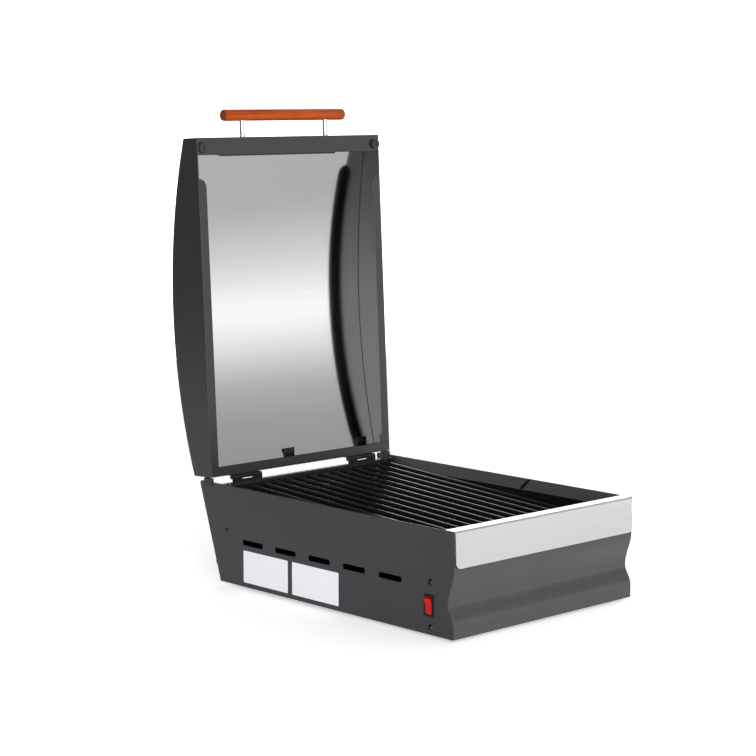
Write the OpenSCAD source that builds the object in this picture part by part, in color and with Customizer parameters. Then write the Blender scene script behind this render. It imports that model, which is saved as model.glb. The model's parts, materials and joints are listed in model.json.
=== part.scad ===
// Electric countertop barbecue grill with a hinged, mirror-lined lid, shown with the lid open.
// Millimetres, +Z up, front of the grill towards -Y, standing on z = 0.

/* [Body] */
// Width over the two side panels
body_w = 340; // [300:1:400]
// Depth from the front face to the outer face of the rear panel
body_d = 465; // [420:1:520]
// Height of the side panels
panel_h = 137; // [125:1:160]
// Thickness of the painted sheet
sheet = 1.5; // [1:0.1:2]
// Distance from the front face back to the origin
origin_back = 274; // [240:1:300]
// Reach of the side wings behind the rear panel at the top
wing_top = 33; // [20:1:45]
// Set-back of the side wings in front of the rear panel at the bottom
wing_foot = 11.5; // [5:0.5:15]
// Corner radius at the top of the wings
wing_r = 4; // [2:0.5:8]
// Depth of the dip in the front profile
dip = 9.9; // [5:0.1:13]
// Height of the deepest line of the dip
dip_z = 44; // [40:1:50]
// Height where the dip starts at the top
dip_top = 88; // [80:1:90]
// Height where the dip ends at the bottom
dip_low = 18; // [14:1:24]
// Width of the sloped flange inside each side panel
slope_w = 19; // [15:1:26]
// Drop of the sloped flange
slope_drop = 11.5; // [8:0.5:18]
// Width of the relief slit in each sloped flange
slit_w = 6; // [2:0.5:8]
// Sheet left between the relief slit and the side panel
slit_end = 1.4; // [1:0.1:4]
// Place of the relief slit behind the front face, as a share of the depth
slit_share = 0.395; // [0.3:0.005:0.6]
// Drop of the rear panel's top edge below the side panels
rear_drop = 3; // [2:0.5:6]
// Height of the rear panel's lower edge
rear_low = 24; // [18:1:30]
// Height of the base plate's underside
base_z = 3; // [2:0.5:6]
// Height of the base plate's side upstands
base_lip = 12; // [10:1:18]

/* [Front strip] */
// Height of the stainless strip
strip_h = 47; // [40:1:48]
// Thickness of the stainless strip
strip_t = 1.2; // [0.8:0.1:1.5]
// Depth of the strip's fold over the top
strip_fold = 17; // [16:1:26]
// Inset of the strip from each side face
strip_inset = 2.5; // [1:0.5:5]
// Radius of the strip's lower corners
strip_r = 7; // [3:0.5:10]
// Forward lean of the strip's lower edge, degrees
strip_lean = 3; // [0:0.5:4]

/* [Vents] */
// Number of vent slots in each side panel
vent_n = 5; // [3:1:5]
// Length of a vent slot
vent_l = 42.5; // [30:0.5:50]
// Height of a vent slot
vent_h = 7.8; // [7:0.1:10]
// Corner radius of a vent slot
vent_r = 3; // [1:0.5:3]
// Spacing of the vent slots
vent_pitch = 67.7; // [60:0.1:70]
// Middle of the front vent slot behind the front face
vent_y = 113; // [105:1:125]
// Height of the vent slots' middle line
vent_z = 62; // [58.5:0.5:65]

/* [Switch] */
// Middle of the switch behind the front face
switch_y = 42.6; // [40:0.1:55]
// Middle of the switch above the panel's lower edge
switch_z = 37.2; // [36:0.1:38]
// Width of the switch bezel
bezel_w = 16; // [15.5:0.1:18]
// Height of the switch bezel
bezel_h = 28; // [27:0.5:29]
// Thickness of the switch bezel
bezel_t = 1.6; // [1.5:0.1:3]
// Width of the rocker
rocker_w = 11; // [9:0.1:11.2]
// Radius of the rocker's ends about its pivot
rocker_r = 11; // [9:0.1:11]
// Slope of each rocker face
rocker_tilt = 9; // [6:0.5:10]
// Depth of the switch body behind the panel
switch_depth = 20; // [15:0.5:22]

/* [Information plates] */
// Width of a plate
plate_w = 92; // [70:1:95]
// Height of a plate
plate_h = 44.5; // [35:0.5:46]
// Thickness of a plate
plate_t = 0.4; // [0.2:0.1:0.6]
// Middle of the front plate behind the front face
plate_y = 256; // [240:1:265]
// Spacing of the two plates
plate_pitch = 101; // [97:1:108]
// Lower edge of the plates
plate_z = 6.7; // [4:0.1:9]

/* [Well and grate] */
// Depth of the well below the side panels' top edge
well_depth = 75; // [70:1:78]
// Thickness of the well liner
liner_t = 1; // [0.8:0.1:1.2]
// Drop of the rods' top below the side panels' top edge, at the middle of their length
rod_drop = 17; // [16:0.5:18]
// Slope of the grate down towards the front, degrees
grate_tilt = 3.3; // [0:0.1:4]
// Diameter of a grate rod
rod_d = 8; // [6:0.5:9]
// Number of grate rods
rod_n = 14; // [10:2:16]
// Free width between the outer rods and the well wall
rod_side = 2.1; // [1.5:0.1:6]
// Free length between each rod end and the well wall
rod_end_gap = 4; // [3.5:0.5:8]
// Extra free length behind the rods, for the closed lid's rear flange
rod_rear_gap = 4; // [3.5:0.5:8]
// Width of a cross bar under the rods
cross_w = 12; // [8:1:16]
// Thickness of a cross bar
cross_t = 4; // [3:0.5:5]
// Distance from each rod end to the middle of its cross bar
cross_in = 40; // [30:1:60]
// Width of the rests that carry the rods
rest_w = 14; // [10:1:18]
// Thickness of the rests
rest_t = 1.2; // [1:0.1:2]
// Height of the rests' flange on the well wall
rest_h = 10; // [8:1:11]
// Gap between the drip tray and the well wall
tray_gap = 14; // [8:1:20]
// Height of the drip tray
tray_h = 14; // [12:1:20]
// Thickness of the drip tray
tray_t = 0.8; // [0.6:0.1:1.2]
// Width of the drip tray's rim
tray_rim = 6; // [4:0.5:8]

/* [Heating element] */
// Diameter of the element tube
element_d = 8; // [6:0.5:8.5]
// Drop of the element's middle below the side panels' top edge
element_drop = 46.5; // [46:0.5:48]
// Number of element legs (even)
element_n = 6; // [4:2:6]
// Spacing of the element legs
element_pitch = 56; // [44:1:64]
// Place of the first leg behind the front face
element_y = 70; // [60:1:90]
// Free space between the bends and the well wall
element_gap = 31; // [15:1:40]
// Outer diameter of the insulating bushes
bush_d = 16; // [13:0.5:18]
// Length of the insulating bushes
bush_l = 6; // [4:0.5:8]
// Width of the element's support bars
support_w = 10; // [8:1:14]
// Thickness of the element's support bars
support_t = 2; // [1.5:0.5:3]
// Place of the support bars from the well's side walls
support_in = 87.5; // [60:0.5:100]

/* [Lid] */
// Reach of the lid beyond each side face of the body
lid_side = 1; // [0:0.1:3]
// Reach of the closed lid in front of the front face
lid_front = 4.5; // [0:0.5:6]
// Height of the lid's front wall
lid_front_h = 30; // [26:0.5:36]
// Height of the lid's rear wall
lid_rear_h = 38; // [32:0.5:42]
// Height of the lid's crown above its rim
lid_crown = 70; // [60:0.5:80]
// Gap between the closed lid's rim and the side panels
lid_gap = 4.6; // [3:0.1:7]
// Angle the open lid leans back past upright, degrees
lid_lean = 3; // [1:0.5:6]
// Width of the rim flange at the front
front_flange = 24; // [18:0.5:25]
// Width of the rim flange at the rear
rear_flange = 13; // [9:0.5:14]
// Width of the rim flange at the sides, from the outer face
side_flange = 14; // [10:0.5:16]
// Distance from the lid's front to the side flanges' rounded ends
side_flange_in = 56; // [40:1:80]
// Diameter of the lid's bumpers
bumper_d = 14; // [9:0.5:16]
// Place of the bumpers behind the lid's front
bumper_in = 13.5; // [10:0.5:16]
// Place of the bumpers from the lid's side faces
bumper_side = 9; // [8:0.5:14]
// Length of the stop pads on the wings
stop_l = 16; // [10:1:20]
// Width of the stop pads
stop_w = 5.5; // [4:0.1:8]
// Grip of the stop pads below the wings' top edge
stop_grip = 6; // [3:0.5:10]

/* [Lid liner] */
// Thickness of the mirror liner
mirror_t = 0.8; // [0.5:0.1:1]
// Depth of the mirror liner at its crown
mirror_crown = 54; // [46:0.5:58]
// Depth of the mirror liner at its front edge
mirror_front = 28.8; // [26:0.1:29]
// Depth of the mirror liner at its rear edge
mirror_rear = 32; // [28:0.5:34]
// Gap between the mirror liner's front edge and the lid's front
mirror_front_in = 14; // [12:0.5:18]
// Gap between the mirror liner's rear edge and the lid's rear
mirror_rear_in = 8; // [6:0.5:12]
// Thickness of the retainer and the clips
clip_t = 1.2; // [0.8:0.1:1.5]
// Inset of the front retainer's ends from the lid's side faces
retainer_in = 62.5; // [40:0.5:90]
// Reach of the front retainer from the lid's front
retainer_l = 25.5; // [22:0.5:32]
// Width of a rear clip
clip_w = 19; // [12:1:24]
// Reach of a rear clip from the lid's rear
clip_l = 21; // [16:0.5:26]
// Place of the outer clips from the lid's side faces
clip_in = 28; // [26:0.5:60]

/* [Handle] */
// Length of the wooden bar
handle_l = 225; // [180:1:280]
// Diameter of the wooden bar
handle_d = 16.5; // [12:0.5:20]
// Rounding of the bar's ends
handle_r = 5; // [3:0.5:6]
// Free finger gap between bar and lid
handle_gap = 22.5; // [18:0.5:35]
// Height of the handle above the lid's rim when closed
handle_z = 13.5; // [11:0.5:16]
// Diameter of a post
post_d = 8; // [6:0.5:10]
// Place of the posts from the bar's ends
post_end = 34.5; // [15:0.5:60]
// Depth of the post sockets in the bar
post_in = 6; // [3:0.5:8]
// Diameter of a handle screw
handle_screw_d = 4; // [3:0.5:5]
// Length of a handle screw inside its post
handle_screw_l = 16; // [8:1:18]

/* [Hinges] */
// Width of a hinge
hinge_w = 54; // [40:1:70]
// Place of the hinges from the side faces
hinge_in = 60; // [40:1:90]
// Outer diameter of the knuckles
knuckle_d = 6; // [5:0.1:7]
// Diameter of the hinge pins
pin_d = 3; // [2.5:0.1:3.5]
// Height of the closed lid's rim above the hinge axis
rim_rise = 1.8; // [1:0.1:2.4]
// Thickness of the leaves
leaf_t = 1.2; // [1:0.1:1.6]
// Height of the leaves
leaf_h = 26; // [20:0.5:30]
// Diameter of a hinge screw
leaf_screw_d = 3; // [2.5:0.5:4]
// Spacing of the hinge screws
leaf_screw_pitch = 34; // [24:1:36]
// Distance of the hinge screws from the axis
leaf_screw_out = 15; // [13:0.5:18]

/* [Feet and cord entry] */
// Height of the side panels' lower edge above the table
foot_h = 4; // [3:0.5:8]
// Diameter of a foot
foot_d = 22; // [16:0.5:30]
// Place of the feet from the side faces
foot_side = 45; // [30:1:70]
// Place of the front feet behind the front face
foot_front = 45; // [30:1:80]
// Place of the rear feet in front of the rear panel
foot_rear = 55; // [40:1:90]
// Diameter of the gland's thread
gland_d = 16; // [12:0.5:20]
// Diameter of the cord hole
cord_hole = 8.5; // [7:0.1:10]
// Length of the gland outside the rear panel
gland_out = 22; // [16:1:30]
// Place of the gland from the left side face
gland_in = 60; // [50:1:80]
// Height of the gland
gland_z = 44; // [42:1:46]

/* [Fasteners and clearances] */
// Head diameter of a side screw
screw_head_d = 9.5; // [8:0.1:11]
// Head height of a side screw
screw_head_h = 2.8; // [2:0.1:3.5]
// Shank diameter of a side screw
screw_d = 5; // [4:0.5:5]
// Place of the side screws behind the front face
screw_y = 39.8; // [38:0.1:46]
// Height of the upper side screw
screw_top = 67.4; // [66.5:0.1:70]
// Height of the lower side screw
screw_low = 9.3; // [8.5:0.1:10]
// Head diameter of a rear rivet
rivet_d = 5; // [4:0.5:7]
// Place of the rear rivets in front of the rear panel
rivet_in = 25; // [20:1:40]
// Height of the rear rivets
rivet_z = 74.6; // [70:0.1:76]
// Width of a bracket under the well
bracket_w = 24; // [16:1:28]
// Gap between pieces that move past each other
clear = 0.3; // [0.2:0.05:0.5]
// Radial running clearance of a pin in its bore
run = 0.05; // [0.02:0.01:0.1]

/* [Hidden] */
$fn = 64;
fine = 360;
eps = 0.01;
in_x = body_w / 2 - sheet;
panel_top = panel_h;
profile_n = 12;
strip_z = panel_top - strip_t;
rear_top = panel_top - rear_drop;
slit_y = slit_share * body_d;
rivet_y = body_d - rivet_in;
hinge_x = body_w / 2 - hinge_in;
gland_x = body_w / 2 - gland_in;
well_x = body_w / 2 - sheet - slope_w;
well_front = strip_fold - liner_t;
well_rear = body_d - 2 * sheet - 5;
well_z = panel_top - well_depth;
well_side_top = panel_top - slope_drop;
base_top = base_z + strip_t;
base_rear = body_d - wing_foot - 3 * sheet;
base_lip_in = 10;
front_bracket_y = screw_y;
bracket_top = max(screw_top, rivet_z) + 6;
bracket_in = 8;

// Grate
rod_z = panel_top - rod_drop - rod_d / 2;
rod_y0 = well_front + liner_t + rod_end_gap - 1;
rod_y1 = well_rear - liner_t - rod_end_gap - rod_rear_gap + 2;
rod_pitch = (2 * (well_x - liner_t - rod_side) - rod_d) / (rod_n - 1);
rod_x = [for (i = [0 : rod_n - 1]) (i - (rod_n - 1) / 2) * rod_pitch];
rod_mid = (rod_y0 + rod_y1) / 2;
rod_l = (rod_y1 - rod_y0 - rod_d * sin(grate_tilt)) / cos(grate_tilt);
cross_sink = 1;

// Heating element
element_z = panel_top - element_drop;
support_x = well_x - support_in;
bend_r = element_pitch / 2;
leg_x = well_x - liner_t - element_gap - bend_r;
element_end = well_x + bush_l + 3;
terminal_d = 3;
terminal_l = 5;

// Hinge axis and the closed lid's frame
hinge_off = knuckle_d / 2 + clear;
axis_y = body_d + hinge_off;
axis_z = panel_top + lid_gap - rim_rise;
lid_w = body_w + 2 * lid_side;
lid_open = 90 + lid_lean;
lid_l = body_d + lid_front;
lid_in = lid_w / 2 - sheet;
skin_c = circle_centre([0, lid_rear_h], [-lid_l / 2, lid_crown], [-lid_l, lid_front_h]);
skin_r = norm(skin_c - [0, lid_rear_h]);
mirror_c = circle_centre([-mirror_rear_in, mirror_rear], [-lid_l / 2, mirror_crown],
    [-lid_l + mirror_front_in, mirror_front]);
mirror_r = norm(mirror_c - [-mirror_rear_in, mirror_rear]);
arc_floor = 12;
bumper_h = lid_gap - clear;
retainer_w = lid_w - 2 * retainer_in;
clip_x = lid_w / 2 - clip_in;
post_x = handle_l / 2 - post_end;
stop_y = axis_y + 2;
stop_reach = (stop_y + stop_l - axis_y) / cos(lid_lean);
stop_top = axis_z + hinge_off / cos(lid_lean) - stop_reach * sin(lid_lean) - clear - 0.1;
post_l = handle_gap;
handle_out = handle_gap + handle_d / 2;
knuckle_n = 3;
knuckle_w = (hinge_w - (knuckle_n - 1) * clear) / knuckle_n;
leaf_free = knuckle_d / 2 + clear + 0.1;

// Switch
switch_cut_w = bezel_w - 3;
switch_cut_h = bezel_h - 3.4;
switch_wall = 0.8;
pivot_x = body_w / 2 - 1;
pivot_d = 2;
pivot_in = 0.7;
rocker_back = 3.5;
rocker_low = 1.8;
well_open_w = rocker_w + 2 * clear;
well_open_h = 2 * (rocker_r + clear);
tab_l = 6;
tab_w = 4.8;
tab_z = 7;

// Cord entry, terminal block and wiring
gland_in_l = 8;
block_size = [30, 22, 18];
block_rear = 60;
block_at = [-gland_x, base_rear - block_rear, base_top];
wire_d = 3;
wire_bend = 5;

// Height of the rods' middle line at a place behind the front face
function rod_at(y) = rod_z + (y - rod_mid) * tan(grate_tilt);

// Centre of the circle through three points of a plane
function circle_centre(a, b, c) =
    let (d = 2 * (a.x * (b.y - c.y) + b.x * (c.y - a.y) + c.x * (a.y - b.y)))
    [((a * a) * (b.y - c.y) + (b * b) * (c.y - a.y) + (c * c) * (a.y - b.y)) / d,
     ((a * a) * (c.x - b.x) + (b * b) * (a.x - c.x) + (c * c) * (b.x - a.x)) / d];

// Front profile: how far the face lies behind the front plane at height z
function dip_at(z) =
    z >= dip_top || z <= dip_low ? 0
    : z >= dip_z ? dip * (1 - cos(180 * (dip_top - z) / (dip_top - dip_z))) / 2
    : dip * (1 - cos(180 * (z - dip_low) / (dip_z - dip_low))) / 2;

// Points of the front profile from the top of the dip down to its end
function dip_points(shift) = concat(
    [for (i = [0 : profile_n]) let (z = dip_top + (dip_z - dip_top) * i / profile_n)
        [dip_at(z) + shift, z]],
    [for (i = [1 : profile_n]) let (z = dip_z + (dip_low - dip_z) * i / profile_n)
        [dip_at(z) + shift, z]]);

// Places the body's own frame (front face at y = 0, panels' lower edge at z = 0) on the table
module stood() {
    translate([0, -origin_back, foot_h])
        children();
}

// Turns the closed lid's frame (rear face at y = 0, rim at z = 0, front towards -y) to its open place
module opened() {
    stood()
        translate([0, axis_y, axis_z])
            rotate([-lid_open, 0, 0])
                translate([0, -hinge_off, rim_rise])
                    children();
}

// Extrudes a y-z outline along x, from x0 over a length
module along_x(x0, length) {
    translate([x0, 0, 0])
        rotate([90, 0, 90])
            linear_extrude(length)
                children();
}

// A box between two corners
module block(a, b) {
    translate(a)
        cube(b - a);
}

// A round bar along x, y or z from a point
module bar_x(p, d, l) {
    translate(p)
        rotate([0, 90, 0])
            cylinder(d = d, h = l);
}

module bar_y(p, d, l) {
    translate(p)
        rotate([-90, 0, 0])
            cylinder(d = d, h = l);
}

module bar_z(p, d, l) {
    translate(p)
        cylinder(d = d, h = l);
}

// Outline with rounded corners, centred
module soft_rect(w, h, r) {
    square([w - 2 * r, h], center = true);
    square([w, h - 2 * r], center = true);
    for (sx = [-1, 1], sy = [-1, 1])
        translate([sx * (w / 2 - r), sy * (h / 2 - r)])
            circle(r = r);
}

// Outline of a side panel: front profile, foot, slanted wing, rounded top corner
module side_outline() {
    wing = atan2(wing_top + wing_foot, panel_top);
    corner = [body_d + wing_top - wing_r * tan(45 + wing / 2), panel_top - wing_r];
    polygon(concat([[0, panel_top]], dip_points(0),
        [[0, 0], [body_d - wing_foot, 0]],
        [for (i = [0 : 6]) let (a = -wing + (90 + wing) * i / 6)
            corner + wing_r * [cos(a), sin(a)]]));
}

module vent_slots(x0) {
    for (i = [0 : vent_n - 1])
        translate([x0, vent_y + i * vent_pitch, vent_z])
            rotate([90, 0, 90])
                linear_extrude(sheet + 2)
                    soft_rect(vent_l, vent_h, vent_r);
}

// Sloped flange inside a side panel, drawn for the right side
module slope_flange() {
    y0 = strip_fold;
    difference() {
        translate([0, well_rear, 0])
            rotate([90, 0, 0])
                linear_extrude(well_rear - y0)
                    polygon([[in_x + sheet / 2, panel_top], [in_x, panel_top], [well_x, well_side_top],
                        [well_x, well_side_top - sheet], [in_x, panel_top - sheet],
                        [in_x + sheet / 2, panel_top - sheet]]);
        block([well_x - 1, slit_y - slit_w / 2, well_side_top - sheet - 1],
            [in_x - slit_end, slit_y + slit_w / 2, panel_top + 1]);
    }
}

module side_panel(side, with_switch) {
    stood()
        difference() {
            union() {
                along_x(side > 0 ? in_x : -body_w / 2, sheet)
                    side_outline();
                if (side > 0)
                    slope_flange();
                else
                    mirror([1, 0, 0])
                        slope_flange();
            }
            vent_slots(side * (body_w / 2 - sheet / 2) - sheet / 2 - 1);
            for (z = [screw_low, screw_top])
                bar_x([side * body_w / 2 - 3, screw_y, z], screw_d + 2 * clear, 6);
            bar_x([side * body_w / 2 - 3, rivet_y, rivet_z], rivet_d / 2 + 2 * clear, 6);
            if (with_switch)
                block([-body_w / 2 - 1, switch_y - switch_cut_w / 2, switch_z - switch_cut_h / 2],
                    [-in_x + 1, switch_y + switch_cut_w / 2, switch_z + switch_cut_h / 2]);
        }
}

module left_side_panel() {
    color("#3a3b3f")
        side_panel(-1, true);
}

module right_side_panel() {
    color("#3a3b3f")
        side_panel(1, false);
}

module front_panel() {
    color("#57585b")
        stood()
            along_x(-in_x, 2 * in_x)
                polygon(concat([[0, strip_z]], dip_points(0), [[0, 0], [sheet, 0]],
                    [for (i = [0 : 2 * profile_n]) dip_points(sheet)[2 * profile_n - i]],
                    [[sheet, strip_z - sheet], [well_front, strip_z - sheet], [well_front, strip_z]]));
}

module front_strip() {
    half = body_w / 2 - strip_inset;
    color("#d4d5d6")
        stood() {
            block([-half, -strip_t, strip_z], [half, strip_fold, panel_top]);
            translate([0, 0, panel_top])
                rotate([90 - strip_lean, 0, 0])
                    linear_extrude(strip_t)
                        difference() {
                            translate([-half, -strip_h])
                                square([2 * half, strip_h]);
                            for (s = [-1, 1])
                                difference() {
                                    translate([s * (half - strip_r / 2), -strip_h + strip_r / 2])
                                        square(strip_r, center = true);
                                    translate([s * (half - strip_r), -strip_h + strip_r])
                                        circle(r = strip_r);
                                }
                        }
        }
}

module rear_panel() {
    y1 = body_d;
    y0 = y1 - sheet;
    color("#3a3b3f")
        stood()
            difference() {
                union() {
                    block([-in_x, y0, rear_low], [in_x, y1, rear_top]);
                    block([-in_x, well_rear, rear_top - sheet], [in_x, y0 + eps, rear_top]);
                    block([-in_x, base_rear, rear_low], [in_x, y0 + eps, rear_low + sheet]);
                }
                bar_y([-gland_x, y0 - 1, gland_z], gland_d + 2 * clear, sheet + 2);
                for (s = [-1, 1], i = [-1, 1])
                    bar_y([s * hinge_x + i * leaf_screw_pitch / 2, y0 - 1, axis_z - leaf_screw_out],
                        leaf_screw_d + 2 * run, sheet + 2);
            }
}

module base_plate() {
    color("#3a3b3f")
        stood()
            difference() {
                union() {
                    block([-in_x, sheet, base_z], [in_x, base_rear, base_top]);
                    block([-in_x, base_rear - strip_t, base_top - eps], [in_x, base_rear, rear_low + sheet]);
                    for (s = [-1, 1])
                        block([s > 0 ? in_x - strip_t : -in_x, sheet + base_lip_in, base_top - eps],
                            [s > 0 ? in_x : -in_x + strip_t, base_rear - strip_t, base_top + base_lip]);
                }
                for (s = [-1, 1])
                    bar_x([s * in_x - 3, screw_y, screw_low], screw_d + 2 * run, 6);
                foot_places()
                    bar_z([0, 0, base_z - 1], 4 + 2 * run, strip_t + 2);
            }
}

module well_liner() {
    color("#8d8f92")
        stood()
            difference() {
                union() {
                    block([-well_x, well_front, well_z], [well_x, well_rear, well_side_top]);
                    block([-well_x, well_front, well_z], [well_x, well_front + liner_t, strip_z]);
                    block([-well_x, well_rear - liner_t, well_z], [well_x, well_rear, rear_top]);
                }
                block([-well_x + liner_t, well_front + liner_t, well_z + liner_t],
                    [well_x - liner_t, well_rear - liner_t, panel_top + 1]);
                for (y = element_ends())
                    bar_x([-well_x - 1, y, element_z], element_d + 2 * clear, liner_t + 2);
            }
}

// Angle brackets that carry the well on the side panels
module liner_brackets() {
    color("#8d8f92")
        stood()
            for (s = [-1, 1], y = [front_bracket_y, rivet_y - bracket_w / 4])
                mirror([s > 0 ? 0 : 1, 0, 0])
                    difference() {
                        union() {
                            block([well_x - bracket_in, y - bracket_w / 2, well_z - sheet],
                                [in_x, y + bracket_w / 2, well_z]);
                            block([in_x - sheet, y - bracket_w / 2, well_z - eps],
                                [in_x, y + bracket_w / 2, bracket_top]);
                        }
                        bar_x([in_x - 3, screw_y, screw_top], screw_d + 2 * run, 6);
                        bar_x([in_x - 3, rivet_y, rivet_z], rivet_d / 2 + 2 * run, 6);
                    }
}

// Angles on the front and rear well walls that carry the rods' ends
module grate_rests() {
    half = well_x - liner_t - 2;
    front = well_front + liner_t;
    rear = well_rear - liner_t;
    low = rod_at(rod_y0) - rod_d / 2 - clear;
    high = rod_at(rear - rest_w) - rod_d / 2 / cos(grate_tilt) - clear;
    color("#8d8f92")
        stood() {
            block([-half, front, low - rest_t], [half, front + rest_w, low]);
            block([-half, front, low - rest_h], [half, front + rest_t, low - rest_t + eps]);
            block([-half, rear - rest_w, high - rest_t], [half, rear, high]);
            block([-half, rear - rest_t, high - rest_h], [half, rear, high - rest_t + eps]);
        }
}

module drip_tray() {
    x = well_x - liner_t - tray_gap;
    y0 = well_front + liner_t + tray_gap;
    y1 = well_rear - liner_t - tray_gap;
    z0 = well_z + liner_t;
    color("#a9abad")
        stood()
            difference() {
                union() {
                    block([-x, y0, z0], [x, y1, z0 + tray_h]);
                    block([-x - tray_rim, y0 - tray_rim, z0 + tray_h - tray_t],
                        [x + tray_rim, y1 + tray_rim, z0 + tray_h]);
                }
                block([-x + tray_t, y0 + tray_t, z0 + tray_t], [x - tray_t, y1 - tray_t, z0 + tray_h + 1]);
            }
}

// Places behind the front face where the element's two ends leave the well
function element_ends() = [element_y, element_y + (element_n - 1) * element_pitch];

module heating_element() {
    color("#4b4a4c")
        stood()
            translate([0, 0, element_z]) {
                for (i = [0 : element_n - 1])
                    if (i == 0 || i == element_n - 1)
                        bar_x([-element_end, element_y + i * element_pitch, 0], element_d,
                            element_end + leg_x);
                    else
                        bar_x([-leg_x, element_y + i * element_pitch, 0], element_d, 2 * leg_x);
                for (i = [0 : element_n - 2])
                    translate([i % 2 == 0 ? leg_x : -leg_x, element_y + (i + 0.5) * element_pitch, 0])
                        rotate([0, 0, i % 2 == 0 ? -90 : 90])
                            rotate_extrude(angle = 180)
                                translate([bend_r, 0])
                                    circle(d = element_d);
                for (y = element_ends())
                    bar_x([-element_end - terminal_l, y, 0], terminal_d, terminal_l + 1);
            }
}

module element_supports() {
    z1 = element_z - element_d / 2;
    color("#8d8f92")
        stood()
            for (s = [-1, 1])
                block([s * support_x - support_w / 2, well_front + liner_t, z1 - support_t],
                    [s * support_x + support_w / 2, well_rear - liner_t, z1]);
}

module element_bushes() {
    color("#e8e4d8")
        stood()
            for (y = element_ends())
                difference() {
                    bar_x([-well_x - bush_l, y, element_z], bush_d, bush_l);
                    bar_x([-well_x - bush_l - 1, y, element_z], element_d + 2 * run, bush_l + 2);
                }
}

module terminal_block() {
    color("#e8e4d8")
        stood()
            translate(block_at)
                difference() {
                    translate([-block_size.x / 2, -block_size.y / 2, 0])
                        cube(block_size);
                    for (i = [-1 : 1])
                        bar_z([i * block_size.x / 3, 0, block_size.z - 6], 5, 7);
                }
}

// Unit direction from one point to another
function heading(a, b) = (b - a) / norm(b - a);

// A wire along straight runs that meet at right angles, with a round bend at each corner
module wire(points) {
    last = len(points) - 1;
    for (i = [0 : last - 1]) {
        way = heading(points[i], points[i + 1]);
        start = points[i] + (i > 0 ? wire_bend : 0) * way;
        stop = points[i + 1] - (i < last - 1 ? wire_bend : 0) * way;
        translate(start)
            rotate([0, acos(way.z), atan2(way.y, way.x)])
                cylinder(d = wire_d, h = norm(stop - start));
        if (i < last - 1)
            wire_corner(points[i + 1], way, heading(points[i + 1], points[i + 2]));
    }
}

// A quarter bend at a corner, from one direction into the next
module wire_corner(p, a, b) {
    c = cross(a, b);
    m = p + wire_bend * (b - a);
    multmatrix([[-b.x, a.x, c.x, m.x], [-b.y, a.y, c.y, m.y], [-b.z, a.z, c.z, m.z]])
        rotate_extrude(angle = 90)
            translate([wire_bend, 0])
                circle(d = wire_d);
}

module internal_wiring() {
    tab_x = -in_x + switch_depth + tab_l;
    tip_x = -element_end - terminal_l - wire_d / 2;
    turn_x = tab_x + 2 * wire_bend + 2;
    top = block_at.z + block_size.z;
    pole = block_size.x / 3;
    low = switch_z - tab_z;
    high = switch_z + tab_z;
    neutral = low + 2 * wire_d;
    ends = element_ends();
    color("#7a2d26")
        stood() {
            wire([[block_at.x - pole, block_at.y, top], [block_at.x - pole, block_at.y, low],
                [block_at.x - pole, switch_y, low], [tab_x, switch_y, low]]);
            wire([[tab_x, switch_y, high], [turn_x, switch_y, high], [turn_x, ends[0], high],
                [tip_x, ends[0], high], [tip_x, ends[0], element_z + wire_d / 2]]);
            wire([[block_at.x + pole, block_at.y, top], [block_at.x + pole, block_at.y, neutral],
                [block_at.x + pole, ends[1], neutral], [tip_x, ends[1], neutral],
                [tip_x, ends[1], element_z + wire_d / 2]]);
        }
}

// Outer place of the switch: its pivot, seen from outside with local x pointing out of the panel
module at_switch() {
    stood()
        translate([-pivot_x, switch_y, switch_z])
            mirror([1, 0, 0])
                children();
}

module switch_housing() {
    out = body_w / 2 - pivot_x;
    back = out - sheet - switch_depth;
    body_x = switch_cut_w - 2 * run;
    body_z = switch_cut_h - 2 * run;
    color("#161617")
        at_switch()
            difference() {
                union() {
                    block([out, -bezel_w / 2, -bezel_h / 2], [out + bezel_t, bezel_w / 2, bezel_h / 2]);
                    block([back, -body_x / 2, -body_z / 2], [out + eps, body_x / 2, body_z / 2]);
                }
                block([-rocker_back - 2, -well_open_w / 2, -well_open_h / 2],
                    [out + bezel_t + 1, well_open_w / 2, well_open_h / 2]);
                bar_y([0, -well_open_w / 2 - pivot_in, 0], pivot_d + 2 * run, well_open_w + 2 * pivot_in);
            }
}

module switch_terminals() {
    back = -(in_x - switch_depth);
    color("#c9a24a")
        stood()
            for (z = [-tab_z, tab_z])
                block([back, switch_y - tab_w / 2, switch_z + z - 0.4],
                    [back + tab_l, switch_y + tab_w / 2, switch_z + z + 0.4]);
}

// Rocker turned to its rest position, lower face pressed in
module rocker() {
    slope = tan(rocker_tilt);
    reach = rocker_r + 2;
    stub = pivot_in - clear / 3;
    color("#d81f1a")
        at_switch()
            rotate([0, rocker_tilt, 0]) {
                intersection() {
                    bar_y([0, -rocker_w / 2, 0], 2 * rocker_r, rocker_w);
                    translate([0, rocker_w / 2 + 1, 0])
                        rotate([90, 0, 0])
                            linear_extrude(rocker_w + 2)
                                polygon([[-rocker_back, -reach], [rocker_low + reach * slope, -reach],
                                    [rocker_low, 0], [rocker_low + reach * slope, reach],
                                    [-rocker_back, reach]]);
                }
                bar_y([0, -well_open_w / 2 - stub, 0], pivot_d, well_open_w + 2 * stub);
            }
}

module cable_gland() {
    hex_t = 5;
    color("#1d1d1f")
        stood()
            translate([-gland_x, 0, gland_z])
                difference() {
                    union() {
                        bar_y([0, body_d - sheet - gland_in_l, 0], gland_d, sheet + gland_in_l + eps);
                        translate([0, body_d, 0])
                            rotate([-90, 0, 0])
                                cylinder(d = gland_d * 1.5, h = hex_t, $fn = 6);
                        bar_y([0, body_d + hex_t - eps, 0], gland_d * 1.25, gland_out - hex_t + eps);
                    }
                    bar_y([0, body_d - sheet - gland_in_l - 1, 0], cord_hole,
                        gland_out + sheet + gland_in_l + 2);
                }
}

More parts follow.
